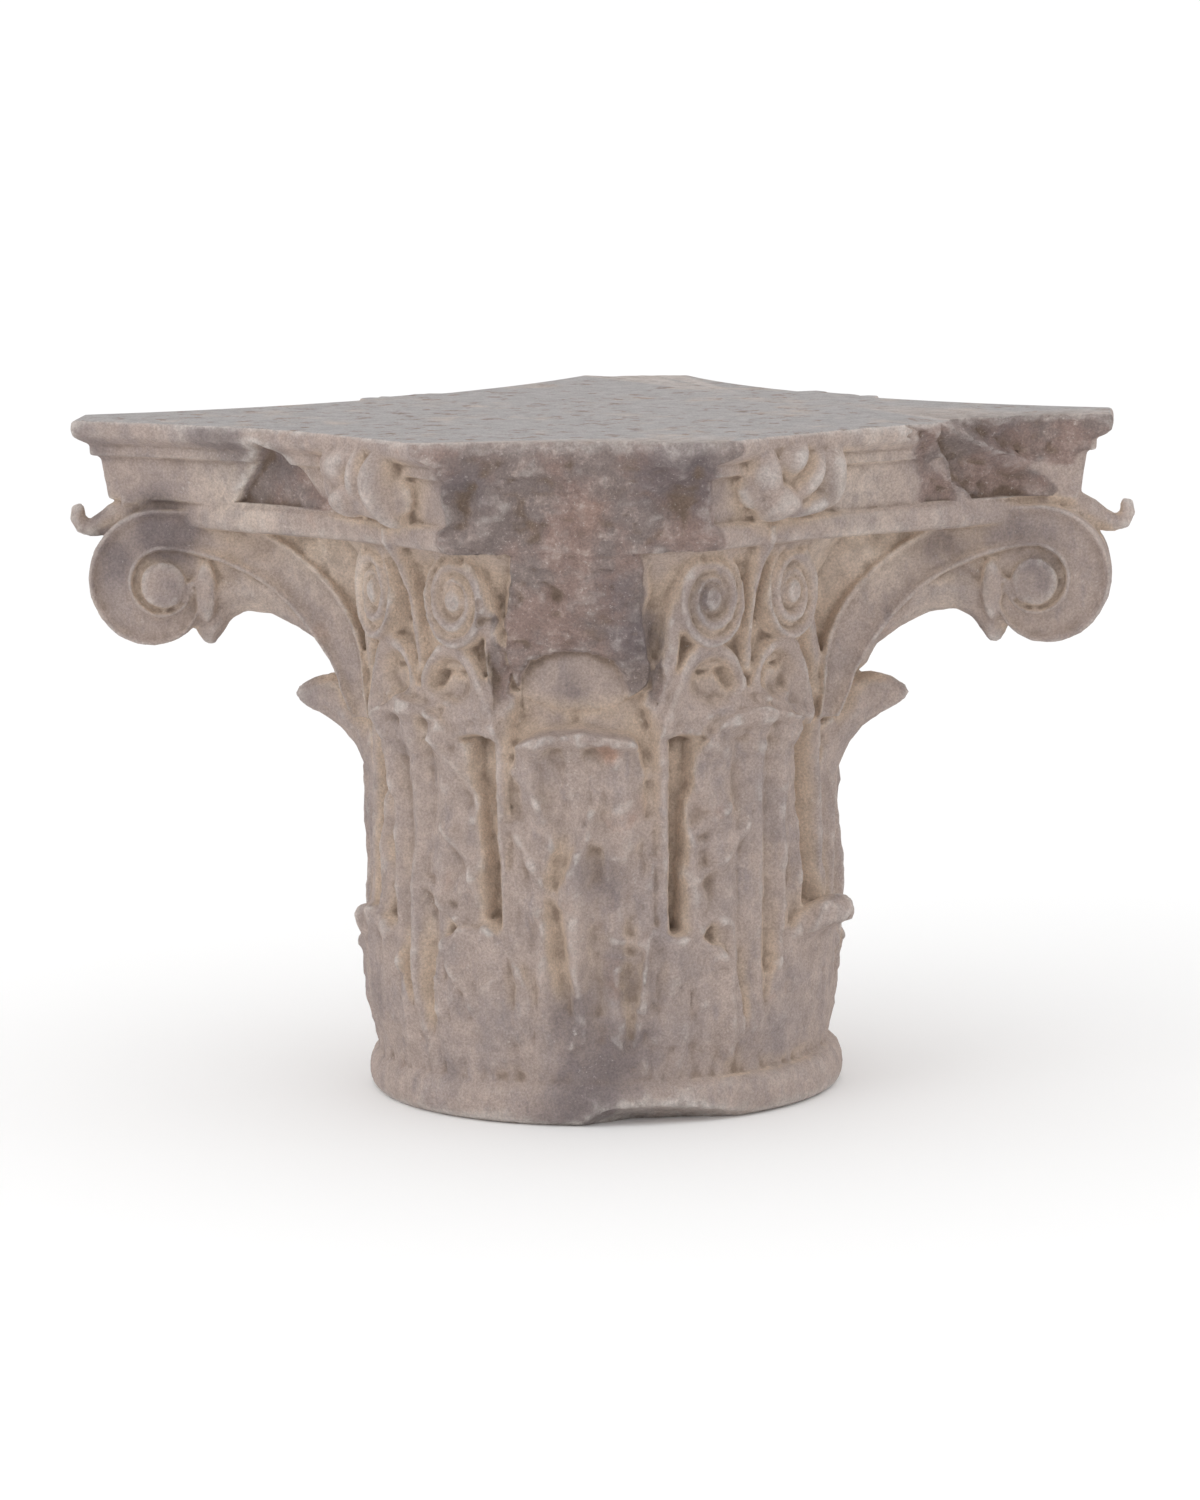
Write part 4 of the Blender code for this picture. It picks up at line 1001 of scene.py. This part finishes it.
for name, times, gain in (("edge", 8, 130), ("crisp", 2, 420)):
    around = np.stack([spread_out(points[:, k].copy(), times) for k in range(3)], axis=-1)
    sharp = ((points - around) * normals).sum(axis=1)
    write(mesh, name, np.clip(0.5 + gain * spread_out(sharp, 1), 0, 1))
write(mesh, "scar", spread_out(scar_share(points), 2))
# Dark purple-grey patches: partly real stains, partly painted shade, as on the lower side of the right
# flower lump.
STAINED_AND_SHADED = ((-135, 0.41, 0.533, 0.045, 2.3), (-135, 0.455, 0.51, 0.045, 1.4),
           (-47, 0.205, 0.41, 0.03, 0.6), (45, 0.33, 0.51, 0.045, 1.1), (5, 0.3, 0.585, 0.03, 0.4),
           (-135, 0.49, 0.63, 0.05, 0.9), (-135, 0.41, 0.48, 0.055, 0.8), (45, 0.42, 0.49, 0.06, 0.9),
           (-120, 0.36, 0.63, 0.05, 1.1), (-65.7, 0.294, 0.595, 0.036, 0.8),
           (-26.3, 0.292, 0.602, 0.044, 1.6), (-31.2, 0.218, 0.455, 0.03, 1.1),
           (-37.5, 0.235, 0.5, 0.03, 0.8), (-114.2, 0.32, 0.605, 0.034, 1.0),
           (-45, 0.226, 0.01, 0.06, 1.0), (-38, 0.225, 0.06, 0.06, 0.9), (-35, 0.225, 0.13, 0.045, 0.7),
           (-48, 0.225, 0.1, 0.045, 0.8), (-42, 0.22, 0.23, 0.032, 0.6),
           (-16.6, 0.225, 0.36, 0.024, 0.5), (-17.5, 0.24, 0.487, 0.03, 0.8),
           (45, 0.39, 0.53, 0.045, 1.35), (45, 0.405, 0.48, 0.03, 0.7), (35.4, 0.38, 0.618, 0.048, 0.6),
           (31.0, 0.365, 0.59, 0.022, 0.9), (-110, 0.226, 0.1, 0.04, 0.6),
           (-66, 0.222, 0.42, 0.024, 0.5), (-5, 0.226, 0.06, 0.04, 0.5))
RUSTY = ((-39, 0.235, 0.35, 0.019, 1.0), (-44, 0.262, 0.56, 0.07, 0.5), (-48, 0.27, 0.605, 0.03, 0.45),
         (-33, 0.222, 0.3, 0.03, 0.5), (-72, 0.225, 0.15, 0.04, 0.4))


def patches(spots):
    """Soft patches round given places (turn, reach, level, radius, strength)."""
    total = np.zeros(len(points))
    for turn, reach, level, radius, strength in spots:
        centre = turned(np.array([reach, 0.0, level]), turn)
        apart = ((points - centre) ** 2).sum(axis=1)
        total = np.maximum(total, strength * np.exp(-apart / radius ** 2))
    return total


SHELTERED = ((-124.5, 0.265, 0.52, 0.038, 0.8), (34.5, 0.265, 0.52, 0.038, 0.8),
             (-135, 0.32, 0.47, 0.035, 0.7), (45, 0.32, 0.47, 0.035, 0.8), (22, 0.24, 0.5, 0.035, 0.6),
             (-112, 0.24, 0.5, 0.04, 0.9), (-55, 0.24, 0.51, 0.016, 0.7), (-72, 0.205, 0.33, 0.02, 0.5),
             (-120, 0.35, 0.58, 0.045, 0.8), (15, 0.31, 0.578, 0.045, 0.8),
             (22, 0.26, 0.53, 0.035, 0.9))
write(mesh, "shelter", patches(SHELTERED))
write(mesh, "stain_and_shade", patches(STAINED_AND_SHADED))
write(mesh, "rust", patches(RUSTY))
write(mesh, "top", (normals[:, 2] > 0.9) * (points[:, 2] > HEIGHT - 0.004))
RAYS = 14
REACH = 0.09
tree = BVHTree.FromPolygons(points.tolist(), [tuple(p.vertices) for p in mesh.polygons])
GOLDEN_TURN = 2.39996
swirl = np.arange(RAYS)
lift = np.sqrt(1 - (swirl + 0.5) / RAYS)
spin = swirl * GOLDEN_TURN
flat = np.sqrt(1 - lift ** 2)
local = xyz(np.cos(spin) * flat, np.sin(spin) * flat, lift)
helper = np.where(abs(normals[:, 2:]) < 0.9, [[0.0, 0.0, 1.0]], [[1.0, 0.0, 0.0]])
tangent = np.cross(helper, normals)
tangent /= np.linalg.norm(tangent, axis=1, keepdims=True)
cotangent = np.cross(normals, tangent)
closed = np.zeros(len(points))
starts = (points + normals * 0.0015).tolist()
for ray in local:
    ways = (tangent * ray[0] + cotangent * ray[1] + normals * ray[2]).tolist()
    for k, (start, way) in enumerate(zip(starts, ways)):
        hit = tree.ray_cast(start, way, REACH)
        if hit[3] is not None:
            closed[k] += 1 - hit[3] / REACH
write(mesh, "recess", spread_out(closed / RAYS, 2))

# The stone's finish: warm beige marble, cream in the hollows, rubbed pale with a painted highlight on
# its edges, painted shade in its creases, and stained purple-grey where it is open, partly as painted
# shade, with a darker, partly reddish break.
stone.use_nodes = True
nodes, links = stone.node_tree.nodes, stone.node_tree.links
shader = nodes["Principled BSDF"]
where = nodes.new("ShaderNodeTexCoord").outputs["Object"]


def mark(name):
    """A number kept on the points."""
    node = nodes.new("ShaderNodeAttribute")
    node.attribute_name = name
    return node.outputs["Fac"]


def cloud(size, detail, stretch=(1, 1, 1), rough=0.6):
    """Noise from 0 to 1 with patches about one size across."""
    turn = nodes.new("ShaderNodeMapping")
    turn.inputs["Scale"].default_value = stretch
    noise = nodes.new("ShaderNodeTexNoise")
    noise.inputs["Scale"].default_value = 1 / size
    noise.inputs["Detail"].default_value = detail
    noise.inputs["Roughness"].default_value = rough
    links.new(where, turn.inputs["Vector"])
    links.new(turn.outputs[0], noise.inputs["Vector"])
    return noise.outputs[0]


def ramp(value, low, high, low_to=0.0, high_to=1.0):
    """A value stretched from one span to another and held inside it."""
    node = nodes.new("ShaderNodeMapRange")
    node.interpolation_type = "SMOOTHSTEP"
    for k, number in enumerate((low, high, low_to, high_to)):
        node.inputs[k + 1].default_value = number
    links.new(value, node.inputs[0])
    return node.outputs[0]


def maths(kind, a, b):
    """A sum or product of two values, either of which may be a plain number."""
    node = nodes.new("ShaderNodeMath")
    node.operation = kind
    for k, value in enumerate((a, b)):
        if isinstance(value, (int, float)):
            node.inputs[k].default_value = value
        else:
            links.new(value, node.inputs[k])
    return node.outputs[0]


def tinted(below, above, share):
    """One colour or finish laid over another, by a share from 0 to 1."""
    node = nodes.new("ShaderNodeMix")
    node.data_type = "RGBA"
    for socket, value in (("A", below), ("B", above)):
        if isinstance(value, tuple):
            node.inputs[socket].default_value = (*value, 1)
        else:
            links.new(value, node.inputs[socket])
    links.new(share, node.inputs["Factor"])
    return node.outputs["Result"]


WARM = (0.446, 0.357, 0.317)
GREY = (0.31, 0.262, 0.258)
CREAM = (0.61, 0.482, 0.385)
CLEAN = (0.76, 0.64, 0.54)
PALE = (0.64, 0.585, 0.55)
# Dark brown for painted shade in creases.
CREASE_SHADE = (0.215, 0.155, 0.118)
PURPLE = (0.172, 0.142, 0.146)
DARK_BREAK = (0.235, 0.188, 0.176)
RED_BREAK = (0.315, 0.21, 0.18)
BED_GREY = (0.395, 0.372, 0.368)
BED_BROWN = (0.265, 0.2, 0.168)
RUST = (0.42, 0.235, 0.16)

recess, edge, crisp, scar, top = mark("recess"), mark("edge"), mark("crisp"), mark("scar"), mark("top")
mottle = cloud(0.016, 6, rough=0.68)
drift = cloud(0.05, 6, (1.0, 1.0, 0.6), 0.62)
tone = tinted(WARM, GREY, ramp(cloud(0.11, 5), 0.49, 0.68, 0.0, 0.5))
tone = tinted(tone, GREY, ramp(cloud(0.016, 6, (1, 1, 0.4), 0.7), 0.53, 0.7, 0.0, 0.65))
tone = tinted(tone, RUST, ramp(cloud(0.05, 4), 0.62, 0.78, 0.0, 0.3))
tone = tinted(tone, CREAM, ramp(recess, 0.07, 0.32, 0.0, 0.95))
tone = tinted(tone, CLEAN, maths("MULTIPLY", mark("shelter"), ramp(mottle, 0.25, 0.6, 0.45, 0.95)))
blown = ramp(cloud(0.028, 7, (1, 1, 0.5), 0.72), 0.46, 0.62)
open_grey = maths("MULTIPLY", ramp(recess, 0.015, 0.15, 1.0, 0.0), blown)
tone = tinted(tone, GREY, maths("MULTIPLY", open_grey, 0.42))
broken = tinted(DARK_BREAK, RED_BREAK, ramp(cloud(0.07, 5), 0.45, 0.62, 0.0, 0.7))
broken = tinted(broken, WARM, ramp(mottle, 0.5, 0.7, 0.0, 0.6))
ragged = maths("ADD", scar, maths("MULTIPLY", maths("SUBTRACT", mottle, 0.5), 0.9))
tone = tinted(tone, broken, ramp(ragged, 0.25, 0.62, 0.0, 0.9))
blotch = maths("ADD", mark("rust"), maths("SUBTRACT", drift, 0.5))
tone = tinted(tone, RUST, ramp(blotch, 0.35, 0.95, 0.0, 0.65))
patchy = maths("MULTIPLY", maths("SUBTRACT", maths("ADD", drift, mottle), 1.0), 1.3)
# Purple-grey over the open stone: real stains with noise, and painted shade where the patches stand in
# for it.
blotch = maths("ADD", mark("stain_and_shade"), patchy)
tone = tinted(tone, PURPLE, ramp(blotch, 0.25, 1.00, 0.0, 0.78))
# Painted shade: concave creases and tight hollows, found from the edge and crisp numbers, are darkened
# in the colour.
painted_crease_shade = maths("ADD", ramp(edge, 0.46, 0.12, 0.0, 0.46), ramp(crisp, 0.45, 0.05, 0.0, 0.4))
tone = tinted(tone, CREASE_SHADE, painted_crease_shade)
# Pale on convex edges and ridges: partly rubbed wear, partly a painted highlight; less of it on the
# break.
rubbed_and_highlit = maths("ADD", ramp(edge, 0.58, 0.94, 0.0, 0.42), ramp(crisp, 0.6, 0.98, 0.0, 0.36))
rubbed_and_highlit = maths("MULTIPLY", rubbed_and_highlit, ramp(cloud(0.01, 5), 0.34, 0.6, 0.35, 1.0))
rubbed_and_highlit = maths("MULTIPLY", rubbed_and_highlit, ramp(scar, 0.1, 0.6, 1.0, 0.5))
tone = tinted(tone, PALE, rubbed_and_highlit)
spread = maths("MAXIMUM", ramp(cloud(0.035, 4), 0.5, 0.62), maths("MULTIPLY", scar, 0.8))
flecks = maths("MULTIPLY", ramp(cloud(0.004, 3, rough=0.85), 0.6, 0.7), spread)
tone = tinted(tone, PALE, maths("MULTIPLY", flecks, 0.55))
bed = tinted(BED_GREY, BED_BROWN, ramp(cloud(0.018, 6, rough=0.65), 0.54, 0.66, 0.0, 0.85))
bed = tinted(bed, CREAM, ramp(cloud(0.06, 5), 0.52, 0.72, 0.0, 0.35))
tone = tinted(tone, bed, top)
fine = ramp(cloud(0.0022, 4, rough=0.75), 0.28, 0.72, 0.8, 1.2)
coarse = ramp(mottle, 0.28, 0.72, 0.88, 1.12)
light = nodes.new("ShaderNodeMix")
light.data_type = "RGBA"
light.blend_type = "MULTIPLY"
light.inputs["Factor"].default_value = 1.0
links.new(tone, light.inputs["A"])
links.new(maths("MULTIPLY", fine, coarse), light.inputs["B"])
links.new(light.outputs["Result"], shader.inputs["Base Color"])
DULLNESS, SHINE = 0.85, 0.25
shader.inputs["Roughness"].default_value = DULLNESS
shader.inputs["Specular IOR Level"].default_value = SHINE
GRAIN_STRENGTH, GRAIN_DEPTH = 0.8, 0.0032
bump = nodes.new("ShaderNodeBump")
bump.inputs["Strength"].default_value = GRAIN_STRENGTH
bump.inputs["Distance"].default_value = GRAIN_DEPTH
height = maths("ADD", cloud(0.0045, 6, rough=0.75), maths("MULTIPLY", mottle, 1.6))
links.new(height, bump.inputs["Height"])
links.new(bump.outputs[0], shader.inputs["Normal"])
mesh.materials.clear()
mesh.materials.append(stone)
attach(capital, "root")
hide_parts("capital")

# The floor: a plain pale sheet under the stone, wide enough to run out of the picture. It
# is there for the picture only.
FLOOR_HALF = 40.0
PAPER_WHITE = 0.94
floor_mesh = bpy.data.meshes.new("floor")
ends = [(FLOOR_HALF * x, FLOOR_HALF * y, 0) for x, y in ((-1, -1), (1, -1), (1, 1), (-1, 1))]
floor_mesh.from_pydata(ends, [], [(0, 1, 2, 3)])
floor = bpy.data.objects.new("floor", floor_mesh)
bpy.context.scene.collection.objects.link(floor)
paper = bpy.data.materials.new("pale_floor")
paper.use_nodes = True
sheet = paper.node_tree.nodes["Principled BSDF"]
sheet.inputs["Base Color"].default_value = (PAPER_WHITE, PAPER_WHITE, PAPER_WHITE, 1)
sheet.inputs["Roughness"].default_value = 1.0
floor_mesh.materials.append(paper)

# Light and view: an even white room with one broad lamp from the left, and the camera
# at the height and distance the picture was taken from, held a little off level.
world = bpy.data.worlds.new("white_room")
world.use_nodes = True
ROOM_LIGHT = 1.08
walls = world.node_tree.nodes["Background"]
walls.inputs["Color"].default_value = (1.0, 1.0, 1.0, 1)
walls.inputs["Strength"].default_value = ROOM_LIGHT
bpy.context.scene.world = world
bpy.context.scene.view_settings.view_transform = "Standard"
VIEW_TURN = math.radians(50.1)
RIGHT = Vector((math.cos(VIEW_TURN), math.sin(VIEW_TURN), 0))
AWAY = Vector((-math.sin(VIEW_TURN), math.cos(VIEW_TURN), 0))
EYE_AWAY = 5.605
EYE_LEVEL = 1.1455
AIM = RIGHT * -0.0019 + Vector((0, 0, 0.318))
ROLL = math.radians(0.85)
LENS = 143.13
camera = bpy.data.objects.new("camera", bpy.data.cameras.new("camera"))
camera.data.lens = LENS
camera.location = AWAY * -EYE_AWAY + Vector((0, 0, EYE_LEVEL))
ahead = (AIM - camera.location).normalized()
across = ahead.cross(Vector((0, 0, 1))).normalized()
above = across.cross(ahead)
tilt_across = across * math.cos(ROLL) - above * math.sin(ROLL)
tilt_above = above * math.cos(ROLL) + across * math.sin(ROLL)
camera.rotation_euler = Matrix((tilt_across, tilt_above, -ahead)).transposed().to_euler()
bpy.context.scene.collection.objects.link(camera)
bpy.context.scene.camera = camera
lamp = bpy.data.objects.new("broad_lamp", bpy.data.lights.new("broad_lamp", "AREA"))
LAMP_SIZE, LAMP_POWER = 3.0, 26.0
lamp.data.size = LAMP_SIZE
lamp.data.energy = LAMP_POWER
lamp.location = AWAY * -3.0 + RIGHT * -3.2 + Vector((0, 0, 3.0))
lamp.rotation_euler = (lamp.location - Vector((0, 0, 0.35))).to_track_quat("Z", "Y").to_euler()
bpy.context.scene.collection.objects.link(lamp)
